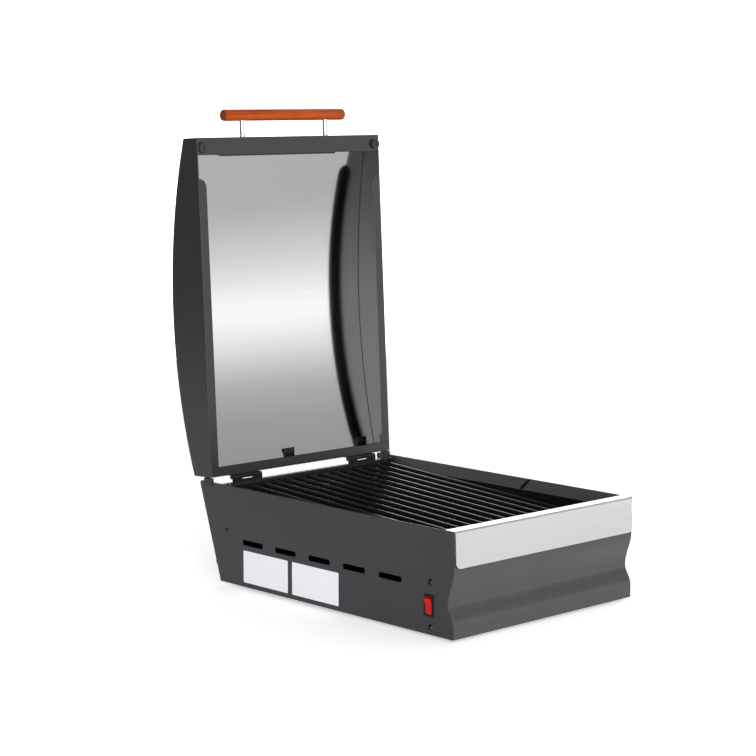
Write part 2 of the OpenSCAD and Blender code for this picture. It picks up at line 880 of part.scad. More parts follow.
module gland_nut() {
    nut_t = 5;
    color("#1d1d1f")
        stood()
            translate([-gland_x, body_d - sheet - nut_t, gland_z])
                rotate([-90, 0, 0])
                    difference() {
                        cylinder(d = gland_d * 1.4, h = nut_t, $fn = 6);
                        translate([0, 0, -1])
                            cylinder(d = gland_d + 2 * run, h = nut_t + 2);
                    }
}

// A button-head screw that points into the body, drawn for the right side
module side_screw(y, z) {
    ball = (screw_head_d * screw_head_d / 4 + screw_head_h * screw_head_h) / (2 * screw_head_h);
    difference() {
        translate([body_w / 2, y, z])
            rotate([0, 90, 0])
                rotate_extrude()
                    intersection() {
                        translate([0, screw_head_h - ball])
                            circle(r = ball, $fn = 180);
                        square([screw_head_d, screw_head_h + 1]);
                    }
        translate([body_w / 2 + screw_head_h / 2, y, z])
            rotate([0, 90, 0])
                cylinder(d = screw_d * 0.7, h = screw_head_h, $fn = 6);
    }
    bar_x([in_x - sheet - 3, y, z], screw_d, sheet * 2 + 3 + eps);
}

module side_screws() {
    color("#26272a")
        stood()
            for (s = [0, 1], z = [screw_low, screw_top])
                mirror([s, 0, 0])
                    side_screw(screw_y, z);
}

module rear_rivets() {
    head = 1.2;
    color("#55565a")
        stood()
            for (s = [0, 1])
                mirror([s, 0, 0]) {
                    bar_x([body_w / 2, rivet_y, rivet_z], rivet_d, head);
                    bar_x([in_x - sheet - 1, rivet_y, rivet_z], rivet_d / 2, 2 * sheet + 1 + eps);
                }
}

module info_plate(y) {
    color("#f1f1ee")
        stood()
            translate([-body_w / 2 - plate_t, y, plate_z + plate_h / 2])
                rotate([90, 0, 90])
                    linear_extrude(plate_t)
                        soft_rect(plate_w, plate_h, 1);
}

module info_plate_front() {
    info_plate(plate_y);
}

module info_plate_rear() {
    info_plate(plate_y + plate_pitch);
}

// Rods on three cross bars, sloping down towards the front
module grate() {
    top = cross_sink - rod_d / 2;
    color("#1b1b1c")
        stood()
            translate([0, rod_mid, rod_z])
                rotate([grate_tilt, 0, 0]) {
                    for (x = rod_x)
                        bar_y([x, -rod_l / 2, 0], rod_d, rod_l);
                    for (y = [cross_in - rod_l / 2, 0, rod_l / 2 - cross_in])
                        block([rod_x[0] - rod_d / 2, y - cross_w / 2, top - cross_t],
                            [rod_x[rod_n - 1] + rod_d / 2, y + cross_w / 2, top]);
                }
}

function foot_xy(sx, front) =
    [sx * (body_w / 2 - foot_side), front ? foot_front : body_d - foot_rear];

module foot_places() {
    for (sx = [-1, 1], front = [true, false])
        translate(foot_xy(sx, front))
            children();
}

module foot(sx, front) {
    color("#19191a")
        stood()
            translate(foot_xy(sx, front))
                difference() {
                    bar_z([0, 0, -foot_h], foot_d, base_z + foot_h);
                    bar_z([0, 0, -foot_h - 1], 4 + 2 * run, base_z + foot_h + 2);
                    bar_z([0, 0, -foot_h - 1], 9, foot_h + 1);
                }
}

module foot_front_left() {
    foot(-1, true);
}

module foot_front_right() {
    foot(1, true);
}

module foot_rear_left() {
    foot(-1, false);
}

module foot_rear_right() {
    foot(1, false);
}

module foot_screws() {
    color("#8d8f92")
        stood()
            foot_places() {
                bar_z([0, 0, -2.4], 8, 2.4);
                bar_z([0, 0, -eps], 4, base_top + 3);
            }
}

// Where the knuckles of a leaf lie along the hinge; the lower leaf has the outer ones
function knuckles(lower) = [for (i = [0 : knuckle_n - 1]) if ((i % 2 == 0) == lower)
    -hinge_w / 2 + i * (knuckle_w + clear)];

// A hinge leaf in the hinge's own frame: axis at the origin, leaf along +z, panel face at -y
module leaf(lower) {
    difference() {
        union() {
            block([-hinge_w / 2, -hinge_off, leaf_free], [hinge_w / 2, -hinge_off + leaf_t, leaf_h]);
            for (x = knuckles(lower)) {
                block([x, -hinge_off, 0], [x + knuckle_w, -hinge_off + leaf_t, leaf_free + eps]);
                bar_x([x, 0, 0], knuckle_d, knuckle_w);
            }
        }
        bar_x([-hinge_w / 2 - 1, 0, 0], pin_d + 2 * run, hinge_w + 2);
        for (i = [-1, 1])
            bar_y([i * leaf_screw_pitch / 2, -hinge_off - 1, leaf_screw_out], leaf_screw_d + 2 * run,
                leaf_t + 2);
    }
}

module leaf_screws() {
    head = 1.6;
    for (i = [-1, 1]) {
        bar_y([i * leaf_screw_pitch / 2, -hinge_off - sheet - 2, leaf_screw_out], leaf_screw_d,
            sheet + 2 + leaf_t + eps);
        bar_y([i * leaf_screw_pitch / 2, -hinge_off + leaf_t, leaf_screw_out], leaf_screw_d * 2, head);
    }
}

// The lower leaf hangs down the rear panel, the upper leaf stands up the closed lid's rear wall
module on_body_hinge(s) {
    stood()
        translate([s * hinge_x, axis_y, axis_z])
            mirror([0, 0, 1])
                children();
}

module on_lid_hinge(s) {
    opened()
        translate([s * hinge_x, hinge_off, -rim_rise])
            children();
}

module left_hinge_lower_leaf() {
    color("#6b6c70")
        on_body_hinge(-1)
            leaf(true);
}

module right_hinge_lower_leaf() {
    color("#6b6c70")
        on_body_hinge(1)
            leaf(true);
}

module left_hinge_upper_leaf() {
    color("#6b6c70")
        on_lid_hinge(-1)
            leaf(false);
}

module right_hinge_upper_leaf() {
    color("#6b6c70")
        on_lid_hinge(1)
            leaf(false);
}

module hinge_pin(s) {
    color("#a3a4a8")
        on_body_hinge(s)
            bar_x([-hinge_w / 2, 0, 0], pin_d, hinge_w);
}

module left_hinge_pin() {
    hinge_pin(-1);
}

module right_hinge_pin() {
    hinge_pin(1);
}

module hinge_body_screws() {
    color("#a3a4a8")
        for (s = [-1, 1])
            on_body_hinge(s)
                leaf_screws();
}

module hinge_lid_screws() {
    color("#a3a4a8")
        for (s = [-1, 1])
            on_lid_hinge(s)
                leaf_screws();
}

// Rubber pad that grips a wing's top edge and stops the open lid
module stop_pad(s) {
    mid = s * (body_w / 2 - sheet / 2);
    color("#19191a")
        stood()
            difference() {
                block([mid - stop_w / 2, stop_y, panel_top - stop_grip],
                    [mid + stop_w / 2, stop_y + stop_l, stop_top]);
                block([mid - sheet / 2, stop_y - 1, panel_top - stop_grip - 1],
                    [mid + sheet / 2, stop_y + stop_l + 1, panel_top]);
            }
}

module left_stop_pad() {
    stop_pad(-1);
}

module right_stop_pad() {
    stop_pad(1);
}

// Solid under an arc of the closed lid's frame, over a width centred on x
module under_arc(centre, radius, width) {
    translate([-width / 2, centre.x, centre.y])
        rotate([0, 90, 0])
            cylinder(r = radius, h = width, $fn = fine);
}

// Flat side of the lid with its rim flange, drawn for the right side
module lid_side() {
    y0 = -lid_l + side_flange_in;
    reach = side_flange - sheet;
    intersection() {
        block([lid_in, -lid_l, 0], [lid_w / 2, 0, lid_crown + 5]);
        under_arc(skin_c, skin_r, lid_w + 2);
    }
    block([lid_in - reach, y0 + reach, 0], [lid_in + eps, -rear_flange, sheet]);
    intersection() {
        block([lid_in - reach, y0, 0], [lid_in + eps, y0 + reach + eps, sheet]);
        bar_z([lid_in, y0 + reach, 0], 2 * reach, sheet);
    }
}

module lid_right_panel() {
    color("#34343a")
        opened()
            lid_side();
}

module lid_left_panel() {
    color("#34343a")
        opened()
            mirror([1, 0, 0])
                lid_side();
}

module lid_skin() {
    color("#34343a")
        opened()
            intersection() {
                block([-lid_in, -lid_l, arc_floor], [lid_in, 0, lid_crown + 5]);
                difference() {
                    under_arc(skin_c, skin_r, 2 * lid_in);
                    under_arc(skin_c, skin_r - sheet, 2 * lid_in + 2);
                }
            }
}

module lid_front_wall() {
    color("#46474a")
        opened()
            difference() {
                union() {
                    intersection() {
                        block([-lid_in, -lid_l, 0], [lid_in, -lid_l + sheet, lid_crown]);
                        under_arc(skin_c, skin_r - sheet, 2 * lid_in + 2);
                    }
                    block([-lid_in, -lid_l, 0], [lid_in, -lid_l + front_flange, sheet]);
                }
                for (s = [-1, 1])
                    bar_y([s * post_x, -lid_l - 1, handle_z], handle_screw_d + 2 * run, sheet + 2);
            }
}

module lid_rear_wall() {
    color("#46474a")
        opened()
            difference() {
                union() {
                    intersection() {
                        block([-lid_in, -sheet, 0], [lid_in, 0, lid_crown]);
                        under_arc(skin_c, skin_r - sheet, 2 * lid_in + 2);
                    }
                    block([-lid_in, -rear_flange, 0], [lid_in, 0, sheet]);
                }
                for (s = [-1, 1], i = [-1, 1])
                    bar_y([s * hinge_x + i * leaf_screw_pitch / 2, -sheet - 1, leaf_screw_out - rim_rise],
                        leaf_screw_d + 2 * run, sheet + 2);
            }
}

module lid_liner() {
    half = lid_in - 0.5;
    color("#c9cacc")
        opened()
            intersection() {
                block([-half, -lid_l + mirror_front_in, arc_floor], [half, -mirror_rear_in, lid_crown]);
                difference() {
                    under_arc(mirror_c, mirror_r + mirror_t, 2 * half);
                    under_arc(mirror_c, mirror_r, 2 * half + 2);
                }
            }
}

// Angle strip on the front wall that holds the liner's front edge
module liner_retainer() {
    z1 = mirror_front - 0.2;
    y0 = -lid_l + sheet;
    color("#46474a")
        opened() {
            block([-retainer_w / 2, y0, z1 - clip_t], [retainer_w / 2, -lid_l + retainer_l, z1]);
            difference() {
                block([-retainer_w / 2, y0, sheet + 1], [retainer_w / 2, y0 + clip_t, z1]);
                for (s = [-1, 1])
                    bar_y([s * post_x, y0 - 1, handle_z], handle_screw_d * 2.4, clip_t + 2);
            }
        }
}

// Angle clips on the rear wall that hold the liner's rear edge
module liner_clips() {
    z1 = mirror_rear - 0.2;
    foot = 11;
    color("#5a5c5e")
        opened()
            for (x = [-clip_x, 0, clip_x]) {
                block([x - clip_w / 2, -clip_l, z1 - clip_t], [x + clip_w / 2, -sheet, z1]);
                block([x - clip_w / 2, -sheet - clip_t, z1 - foot],
                    [x + clip_w / 2, -sheet, z1 - clip_t + eps]);
            }
}

module lid_bumper(s) {
    color("#19191a")
        opened()
            translate([s * (lid_w / 2 - bumper_side), -lid_l + bumper_in, -bumper_h])
                difference() {
                    cylinder(d = bumper_d, h = bumper_h);
                    bar_z([0, 0, -1], bumper_d / 3, bumper_h / 2 + 1);
                }
}

module lid_bumper_left() {
    lid_bumper(-1);
}

module lid_bumper_right() {
    lid_bumper(1);
}

// Wooden bar with rounded ends and blind sockets for the posts
module handle_bar() {
    r = handle_d / 2;
    color("#b5551f")
        opened()
            difference() {
                translate([-handle_l / 2, -lid_l - handle_out, handle_z])
                    rotate([0, 90, 0])
                        rotate_extrude() {
                            translate([0, handle_r])
                                square([r, handle_l - 2 * handle_r]);
                            square([r - handle_r, handle_l]);
                            for (z = [handle_r, handle_l - handle_r])
                                translate([r - handle_r, z])
                                    intersection() {
                                        circle(r = handle_r);
                                        translate([0, -handle_r])
                                            square([handle_r, 2 * handle_r]);
                                    }
                        }
                for (s = [-1, 1])
                    bar_y([s * post_x, -lid_l - handle_gap - post_in, handle_z], post_d + 2 * run,
                        post_in + handle_d / 2);
            }
}

module handle_post(s) {
    color("#dcdde0")
        opened()
            difference() {
                bar_y([s * post_x, -lid_l - post_l - post_in, handle_z], post_d, post_l + post_in);
                bar_y([s * post_x, -lid_l - handle_screw_l - 1, handle_z], handle_screw_d + 2 * run,
                    handle_screw_l + 2);
            }
}

module left_handle_post() {
    handle_post(-1);
}

module right_handle_post() {
    handle_post(1);
}

module handle_screws() {
    head = 2.4;
    color("#a3a4a8")
        opened()
            for (s = [-1, 1]) {
                bar_y([s * post_x, -lid_l - handle_screw_l, handle_z], handle_screw_d,
                    handle_screw_l + sheet + eps);
                bar_y([s * post_x, -lid_l + sheet, handle_z], handle_screw_d * 2, head);
            }
}

left_side_panel();
right_side_panel();
front_panel();
front_strip();
rear_panel();
base_plate();
well_liner();
liner_brackets();
grate_rests();
drip_tray();
heating_element();
element_supports();
element_bushes();
terminal_block();
internal_wiring();
switch_housing();
switch_terminals();
rocker();
cable_gland();
gland_nut();
side_screws();
rear_rivets();
info_plate_front();
info_plate_rear();
grate();
foot_front_left();
foot_front_right();
foot_rear_left();
foot_rear_right();
foot_screws();
left_hinge_lower_leaf();
right_hinge_lower_leaf();
left_hinge_pin();
right_hinge_pin();
hinge_body_screws();
left_stop_pad();
right_stop_pad();
lid_left_panel();
lid_right_panel();
lid_skin();
lid_front_wall();
lid_rear_wall();
lid_liner();
liner_retainer();
liner_clips();
lid_bumper_left();
lid_bumper_right();
left_hinge_upper_leaf();
right_hinge_upper_leaf();
hinge_lid_screws();
handle_bar();
left_handle_post();
right_handle_post();
handle_screws();
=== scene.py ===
"""Looks of an electric countertop grill with a hinged lid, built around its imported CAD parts."""
import json
import math

import bpy
from mathutils import Matrix, Vector

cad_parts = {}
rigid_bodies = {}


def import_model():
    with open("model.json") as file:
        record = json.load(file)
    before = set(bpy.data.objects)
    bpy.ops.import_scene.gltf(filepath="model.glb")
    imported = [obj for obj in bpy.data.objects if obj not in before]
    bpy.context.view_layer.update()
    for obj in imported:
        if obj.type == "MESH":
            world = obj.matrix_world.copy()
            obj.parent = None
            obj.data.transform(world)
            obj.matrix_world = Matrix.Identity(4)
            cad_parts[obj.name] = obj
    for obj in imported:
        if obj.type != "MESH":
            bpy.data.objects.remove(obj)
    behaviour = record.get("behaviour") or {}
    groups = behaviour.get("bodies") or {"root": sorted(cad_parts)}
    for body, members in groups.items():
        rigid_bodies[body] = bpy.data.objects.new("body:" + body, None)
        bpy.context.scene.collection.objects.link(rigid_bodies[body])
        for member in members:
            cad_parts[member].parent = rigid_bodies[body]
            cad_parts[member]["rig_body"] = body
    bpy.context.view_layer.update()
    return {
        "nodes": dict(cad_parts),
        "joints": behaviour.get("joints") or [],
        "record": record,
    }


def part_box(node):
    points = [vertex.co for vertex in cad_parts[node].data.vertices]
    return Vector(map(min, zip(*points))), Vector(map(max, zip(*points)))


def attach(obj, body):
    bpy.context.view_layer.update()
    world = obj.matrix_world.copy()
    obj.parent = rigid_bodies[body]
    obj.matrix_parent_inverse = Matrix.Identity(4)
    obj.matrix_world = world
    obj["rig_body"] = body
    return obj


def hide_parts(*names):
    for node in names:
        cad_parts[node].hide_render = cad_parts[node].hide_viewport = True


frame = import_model()

bl_info = {
    "name": "Electric Grill",
    "version": (1, 0, 0),
    "blender": (4, 5, 0),
    "location": "View3D > Sidebar > Grill",
    "description": "Dresses the electric grill's CAD parts and sets its studio",
    "category": "Object",
}

MM = 0.001
NODES = frame["nodes"]
SLOTS = {row["node"]: row["material_slot"] for row in frame["record"]["subparts"]}

# The lid is packed open: its hinge, the turn that opens it, and the hinge as measured from the closed
# lid's rear rim
LID_HINGE = {joint["name"]: joint for joint in frame["joints"]}["lid_hinge"]
HINGE = Vector(LID_HINGE["pos_m"])
OPEN_ANGLE = math.radians(LID_HINGE["range_deg"][1])
OPEN_TURN = Matrix.Rotation(-OPEN_ANGLE, 3, "X")
LID_TO_HINGE = Vector((0, 3.3 * MM, -1.8 * MM))

# Faces that meet under these angles shade as one, are one flat, or are one flat of the strip
SMOOTH = math.radians(28)
FLAT = math.radians(0.3)
STRIP_FLAT = math.radians(4.0)
# Points this near to each other are one point, and this near to a plane they lie on it
SAME_POINT = 0.002 * MM
ON_PLANE = 0.02 * MM
# Share of a face's normal along an axis from which it counts as an end face
FACING = 0.9
# Turns that lay an upright cylinder along an axis
ALONG_X = (0.0, math.radians(90), 0.0)
ALONG_Y = (math.radians(90), 0.0, 0.0)

# Brightness of the studio by height: 0 is straight down, 0.5 the horizon and 1 straight up
ROOM_BANDS = ((0.38, 0.36), (0.41, 0.41), (0.456, 0.66), (0.487, 0.95), (0.50, 0.95), (0.518, 0.76),
              (0.55, 0.41), (0.58, 0.32), (0.80, 0.15), (1.0, 0.25))
# Shares of the studio's light: from all round, from the right, from the front, and the least anywhere
ROOM_ROUND, ROOM_RIGHT, ROOM_FRONT, ROOM_LEAST = 0.45, 0.45, 0.55, 0.03
# Level direction of the bright backdrop behind the grill
BACKDROP_X, BACKDROP_Y = 0.69, 0.73


# Properties


def length(name, description, default):
    return bpy.props.FloatProperty(name=name, description=description, default=default, unit="LENGTH",
                                   precision=5)


def colour(name, description, default):
    return bpy.props.FloatVectorProperty(name=name, description=description, default=default,
                                         subtype="COLOR", size=3, min=0.0, max=1.0)


def angle(name, description, degrees):
    return bpy.props.FloatProperty(name=name, description=description, default=math.radians(degrees),
                                   subtype="ANGLE")


def number(name, description, default):
    return bpy.props.FloatProperty(name=name, description=description, default=default, min=0.0)


def spot(name, description, default):
    return bpy.props.FloatVectorProperty(name=name, description=description, default=default,
                                         subtype="TRANSLATION", size=3)


class GrillSizes(bpy.types.PropertyGroup):
    """Sizes of the rounded edges and of the pieces that are modelled here"""

    sheet_edge: length("Sheet edge", "Rounding of the painted sheet's edges", 0.55 * MM)
    thin_edge: length("Thin edge", "Rounding of thin sheet and small hardware", 0.25 * MM)
    fine_edge: length("Fine edge", "Rounding of the plates and the switch's terminals", 0.125 * MM)
    rubber_edge: length("Rubber edge", "Rounding of feet, pads and bumpers", 0.8 * MM)
    strip_t: length("Strip thickness", "Thickness of the stainless strip", 1.2 * MM)
    strip_bend: length("Strip bend", "Rounding of the stainless strip's fold over the top", 2.6 * MM)
    bezel_edge: length("Bezel edge", "Rounding of the switch bezel's outer edges", 0.4 * MM)
    rod_end: length("Rod end", "Rounding of the grate rods' ends", 2.2 * MM)
    rod_d: length("Rod diameter", "Diameter of a grate rod", 8.0 * MM)
    rod_count: bpy.props.IntProperty(name="Rods", description="Number of grate rods", default=14, min=2)
    grate_tilt: angle("Grate slope", "Slope of the grate down towards the front", 3.3)
    cross_h: length("Cross bar height", "Height of the bars under the rods", 4.0 * MM)
    cross_w: length("Cross bar width", "Width of the bars under the rods", 12.0 * MM)
    cross_in: length("Cross bar inset", "Rod end to the middle of the outer cross bars", 40.0 * MM)
    cross_sink: length("Cross bar weld", "Depth that the cross bars are set into the rods", 1.0 * MM)
    cross_edge: length("Cross bar edge", "Rounding of the bars under the rods", 0.6 * MM)
    handle_end: length("Handle end", "Rounding of the wooden bar's ends", 2.6 * MM)
    hole: length("Largest hole", "Longest hole in the sheets whose rim stays crisp", 60.0 * MM)
    lid_l: length("Lid length", "Length of the lid from rear to front", 469.5 * MM)
    lid_rear_h: length("Lid rear height", "Height of the lid's skin at the rear", 37.95 * MM)
    lid_crown: length("Lid crown", "Height of the lid's skin at the middle", 69.95 * MM)
    lid_front_h: length("Lid front height", "Height of the lid's skin at the front", 29.95 * MM)
    skin_t: length("Skin thickness", "Thickness of the lid's skin", 1.4 * MM)
    mirror_rear: length("Liner rear depth", "Depth of the liner's polished face at the rear", 32.0 * MM)
    mirror_crown: length("Liner crown", "Depth of the liner's polished face at the middle", 54.0 * MM)
    mirror_front: length("Liner front depth", "Depth of the liner's polished face at the front",
                         28.8 * MM)
    mirror_rear_in: length("Liner rear inset", "Gap from the lid's rear to the liner", 8.0 * MM)
    mirror_front_in: length("Liner front inset", "Gap from the lid's front to the liner", 14.0 * MM)
    mirror_t: length("Liner thickness", "Thickness of the lid's liner", 0.8 * MM)


class GrillColours(bpy.types.PropertyGroup):
    """Colours of the finishes"""

    paint: colour("Paint", "Dark grey powder coat", (0.0124, 0.0128, 0.0153))
    # Painted light: the front's coat is the body's paint made about three times lighter, standing in for
    # the light that falls on the front
    front: colour("Front paint", "Grey powder coat of the front panel", (0.040, 0.041, 0.043))
    steel: colour("Stainless", "Brushed stainless strip", (0.53, 0.53, 0.535))
    mirror: colour("Liner", "Polished stainless liner", (0.39, 0.39, 0.395))
    enamel: colour("Enamel", "Black enamel of the grate", (0.005, 0.005, 0.0055))
    zinc: colour("Zinc", "Zinc-plated hardware", (0.36, 0.36, 0.38))
    brass: colour("Brass", "Brass tabs of the switch", (0.62, 0.42, 0.14))
    post: colour("Posts", "Polished steel of the handle's posts", (0.56, 0.56, 0.565))
    # Painted shade: this dark tone of the well's inside stands for the shade that falls in the well
    # under the lid
    dull: colour("Well steel", "Heat-darkened steel of the well", (0.075, 0.073, 0.072))
    rubber: colour("Rubber", "Black rubber", (0.014, 0.014, 0.015))
    wood_light: colour("Wood light", "Early wood of the handle", (0.312, 0.0475, 0.0033))
    wood_dark: colour("Wood dark", "Late wood of the handle", (0.165, 0.0245, 0.004))
    wood_end: colour("Wood end", "End grain of the handle", (0.13, 0.030, 0.013))
    lens: colour("Rocker", "Red rocker of the switch", (0.42, 0.001, 0.001))
    black: colour("Black plastic", "Switch housing and gland", (0.006, 0.006, 0.0065))
    ceramic: colour("Ceramic", "Bushes and terminal block", (0.72, 0.68, 0.58))
    sleeve: colour("Sleeve", "Silicone sleeve of the wiring", (0.045, 0.010, 0.008))
    plate: colour("Plate", "White information plates", (0.67, 0.68, 0.72))
    floor: colour("Floor", "Pale studio floor", (0.94, 0.94, 0.94))


class GrillStage(bpy.types.PropertyGroup):
    """Camera, floor and light"""

    camera: spot("Camera", "Camera's place", (-1.9988, -2.0734, 0.6728))
    target: spot("Target", "Point that the camera looks at", (-0.0541, -0.0164, 0.2968))
    lens: number("Lens", "Focal length in millimetres", 101.21)
    floor_r: length("Floor radius", "Radius of the round studio floor", 2.6)
    floor_glow: number("Floor glow", "Light that the studio floor gives off itself", 0.44)
    light_aim: spot("Lights' aim", "Point that both lights are turned to", (0.0, 0.0, 0.3))
    top_place: spot("Top light's place", "Place of the light above", (0.5, -1.0, 2.6))
    top_light: number("Top light", "Strength of the wide light above, in watts per square metre", 0.25)
    top_spread: angle("Top light's spread", "Angle that the light above covers", 70.0)
    front_place: spot("Front light's place", "Place of the light behind the camera", (-2.8, -3.0, 1.0))
    front_light: number("Front light", "Power of the light behind the camera, in watts", 185.0)
    front_size: length("Front light's size", "Side of the square light behind the camera", 2.2)
    room: number("Room", "Brightness of the surrounding studio", 2.25)
    back_glow: number("Back glow", "Extra brightness of the backdrop behind the grill", 1.7)


# Finishes


class Value:
    """One output of a finish's nodes: Python's operators on it add Math nodes."""

    def __init__(self, finish, socket):
        self.finish = finish
        self.socket = socket

    def math(self, operation, first, second):
        return self.finish.node("ShaderNodeMath", {"operation": operation}, {0: first, 1: second})

    def __add__(self, other):
        return self.math("ADD", self, other)

    def __sub__(self, other):
        return self.math("SUBTRACT", self, other)

    def __rsub__(self, other):
        return self.math("SUBTRACT", other, self)

    def __mul__(self, other):
        return self.math("MULTIPLY", self, other)

    __radd__ = __add__
    __rmul__ = __mul__

    def over(self, edge):
        return self.math("GREATER_THAN", self, edge)

    def abs(self):
        return self.math("ABSOLUTE", self, 0.0)

    def at_least(self, least):
        return self.math("MAXIMUM", self, least)


class Finish:
    """A procedural material under way, or the studio's background when given its node tree."""

    def __init__(self, name, tree=None):
        self.material = None
        self.tree = tree
        if tree is None:
            self.material = bpy.data.materials.new(name)
            self.material.use_nodes = True
            self.tree = self.material.node_tree
            self.shader = self.tree.nodes["Principled BSDF"]

    def node(self, kind, settings=None, sockets=None, out=0):
        """Adds a node: first its settings, then the values or links of its sockets."""
        made = self.tree.nodes.new(kind)
        for key, value in (settings or {}).items():
            if key == "stops":
                stops = made.color_ramp.elements
                while len(stops) < len(value):
                    stops.new(1.0)
                for stop, (place, tint) in zip(stops, value):
                    stop.position = place
                    stop.color = (*tint, 1.0)
            else:
                setattr(made, key, value)
        for key, value in (sockets or {}).items():
            self.feed(made.inputs[key], value)
        return Value(self, made.outputs[out])

    def feed(self, socket, value):
        """Links a value to a socket, or sets a plain number or colour on it."""
        if isinstance(value, Value):
            self.tree.links.new(value.socket, socket)
        elif socket.type == "RGBA":
            socket.default_value = (*value, 1.0)
        else:
            socket.default_value = value

    def place(self, stretch=(1.0, 1.0, 1.0)):
        """The point on the piece in metres, stretched along the axes."""
        here = self.node("ShaderNodeTexCoord", out="Object")
        return self.node("ShaderNodeMapping", None, {"Vector": here, "Scale": stretch})

    def noise(self, scale, detail=2.0, stretch=(1.0, 1.0, 1.0), rough=0.5, twist=0.0):
        """Lumps from 0 to 1, so many to the metre."""
        return self.node("ShaderNodeTexNoise", None, {
            "Vector": self.place(stretch), "Scale": scale, "Detail": detail, "Roughness": rough,
            "Distortion": twist}, out="Fac")

    def mix(self, factor, first, second):
        """A colour between two."""
        return self.node("ShaderNodeMix", {"data_type": "RGBA"}, {0: factor, 6: first, 7: second}, out=2)

    def ramp(self, factor, stops):
        return self.node("ShaderNodeValToRGB", {"stops": stops}, {"Fac": factor})

    def bump(self, height, strength, depth):
        """A normal that follows the height, as if it were so deep."""
        return self.node("ShaderNodeBump", None, {
            "Height": height, "Strength": strength, "Distance": depth})

    def across(self):
        """The place from left to right, in metres."""
        return self.node("ShaderNodeSeparateXYZ", None, {0: self.place()}, out="X")

    def shade(self, **values):
        """Sets the shader's sockets, named with underscores, and gives the material."""
        for key, value in values.items():
            self.feed(self.shader.inputs[key.replace("_", " ")], value)
        return self.material


def times(tint, share):
    """A colour made lighter or darker."""
    return tuple(min(1.0, part * share) for part in tint)


def powder_coat(name, tint):
    """Satin powder coat: a fine orange peel over slow, faint clouds."""
    f = Finish(name)
    peel = f.noise(1100.0, 2.0)
    cloud = f.noise(16.0, 4.0)
    fleck = f.noise(5200.0, 1.0)
    tone = f.mix(cloud, times(tint, 0.86), times(tint, 1.14))
    return f.shade(Base_Color=tone, Roughness=0.26 + cloud * 0.06 + fleck * 0.04,
                   Specular_IOR_Level=0.40, Normal=f.bump(peel, 0.10, 0.12 * MM))


def body_paint(colours):
    return powder_coat("body_paint", colours.paint)


# Painted light: the front panel gets a lighter copy of the body's powder coat as the light on the front
def front_paint(colours):
    return powder_coat("front_paint", colours.front)


def strip_steel(colours):
    """Brushed stainless: long fine scratches that run along the strip."""
    f = Finish("strip_steel")
    fine = f.noise(1.0, 3.0, (9.0, 2400.0, 2400.0), 0.6)
    broad = f.noise(1.0, 2.0, (1.08, 288.0, 288.0))
    smudge = f.noise(11.0, 4.0)
    tone = f.mix(fine * 0.6 + broad * 0.4, times(colours.steel, 0.84), times(colours.steel, 1.12))
    return f.shade(Base_Color=tone, Metallic=1.0, Roughness=0.24 + fine * 0.16 + smudge * 0.05,
                   Normal=f.bump(fine, 0.25, 0.012 * MM))


def well_steel(colours):
    """Sheet of the well: painted dark inside as the shade under the lid, dull zinc grey on its outer
    sides.
    """
    f = Finish("well_steel")
    fine = f.noise(1.0, 3.0, (1400.0, 12.0, 1400.0), 0.6)
    cloud = f.noise(40.0, 3.0)
    wall = 0.5 * MM
    outer = f.across().abs().over(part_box("well_liner")[1].x - wall)
    # Painted shade: the inside of the well gets the dark tone where the lid shades it
    dark = f.mix(fine, times(colours.dull, 0.84), times(colours.dull, 1.12))
    grey = f.mix(cloud, times(colours.zinc, 1.1), times(colours.zinc, 1.6))
    return f.shade(Base_Color=f.mix(outer, dark, grey), Metallic=1.0 - outer * 0.8,
                   Roughness=0.34 + fine * 0.16 + outer * 0.15,
                   Normal=f.bump(fine, 0.25, 0.012 * MM))


def mirror_steel(colours):
    """Polished stainless sheet with faint rolling marks across it."""
    f = Finish("mirror_steel")
    roll = f.noise(1.0, 3.0, (4.0, 4.0, 420.0))
    haze = f.noise(7.0, 3.0)
    tint = f.mix(roll, times(colours.mirror, 0.96), times(colours.mirror, 1.04))
    return f.shade(Base_Color=tint, Metallic=1.0, Roughness=0.08 + roll * 0.02 + haze * 0.03,
                   Normal=f.bump(haze, 0.01, 0.2 * MM))


def black_enamel(colours):
    """Glossy black enamel with the soft unevenness of a dipped coat."""
    f = Finish("black_enamel")
    flow = f.noise(240.0, 2.0)
    soot = f.noise(34.0, 4.0)
    tint = f.mix(soot, times(colours.enamel, 0.7), times(colours.enamel, 1.5))
    return f.shade(Base_Color=tint, Roughness=0.20 + soot * 0.08, Specular_IOR_Level=0.3,
                   Normal=f.bump(flow, 0.02, 0.1 * MM))


def plated(name, tint, rough):
    """Plated or bare metal, mottled and slightly dull."""
    f = Finish(name)
    spangle = f.noise(320.0, 3.0)
    cloud = f.noise(60.0, 2.0)
    tone = f.mix(spangle, times(tint, 0.78), times(tint, 1.2))
    return f.shade(Base_Color=tone, Metallic=1.0, Roughness=rough + cloud * 0.14,
                   Normal=f.bump(spangle, 0.08, 0.05 * MM))


def zinc_steel(colours):
    return plated("zinc_steel", colours.zinc, 0.26)


def black_steel(colours):
    return plated("black_steel", times(colours.zinc, 0.10), 0.36)


def element_steel(colours):
    return plated("element_steel", times(colours.zinc, 0.40), 0.46)


def brass_tabs(colours):
    return plated("brass_tabs", colours.brass, 0.28)


def polished_steel(colours):
    """Polished steel of the posts, with faint turning rings."""
    f = Finish("polished_steel")
    rings = f.noise(1.0, 2.0, (60.0, 60.0, 2600.0))
    tint = f.mix(rings, times(colours.post, 0.93), times(colours.post, 1.07))
    return f.shade(Base_Color=tint, Metallic=1.0, Roughness=0.36 + rings * 0.08,
                   Normal=f.bump(rings, 0.05, 0.02 * MM))


def soft_rubber(colours):
    """Black rubber with a dry, fine-grained face."""
    f = Finish("soft_rubber")
    grain = f.noise(1900.0, 2.0)
    dust = f.noise(90.0, 4.0)
    tint = f.mix(dust, times(colours.rubber, 0.8), times(colours.rubber, 1.7))
    return f.shade(Base_Color=tint, Roughness=0.62 + dust * 0.2,
                   Normal=f.bump(grain, 0.25, 0.12 * MM))


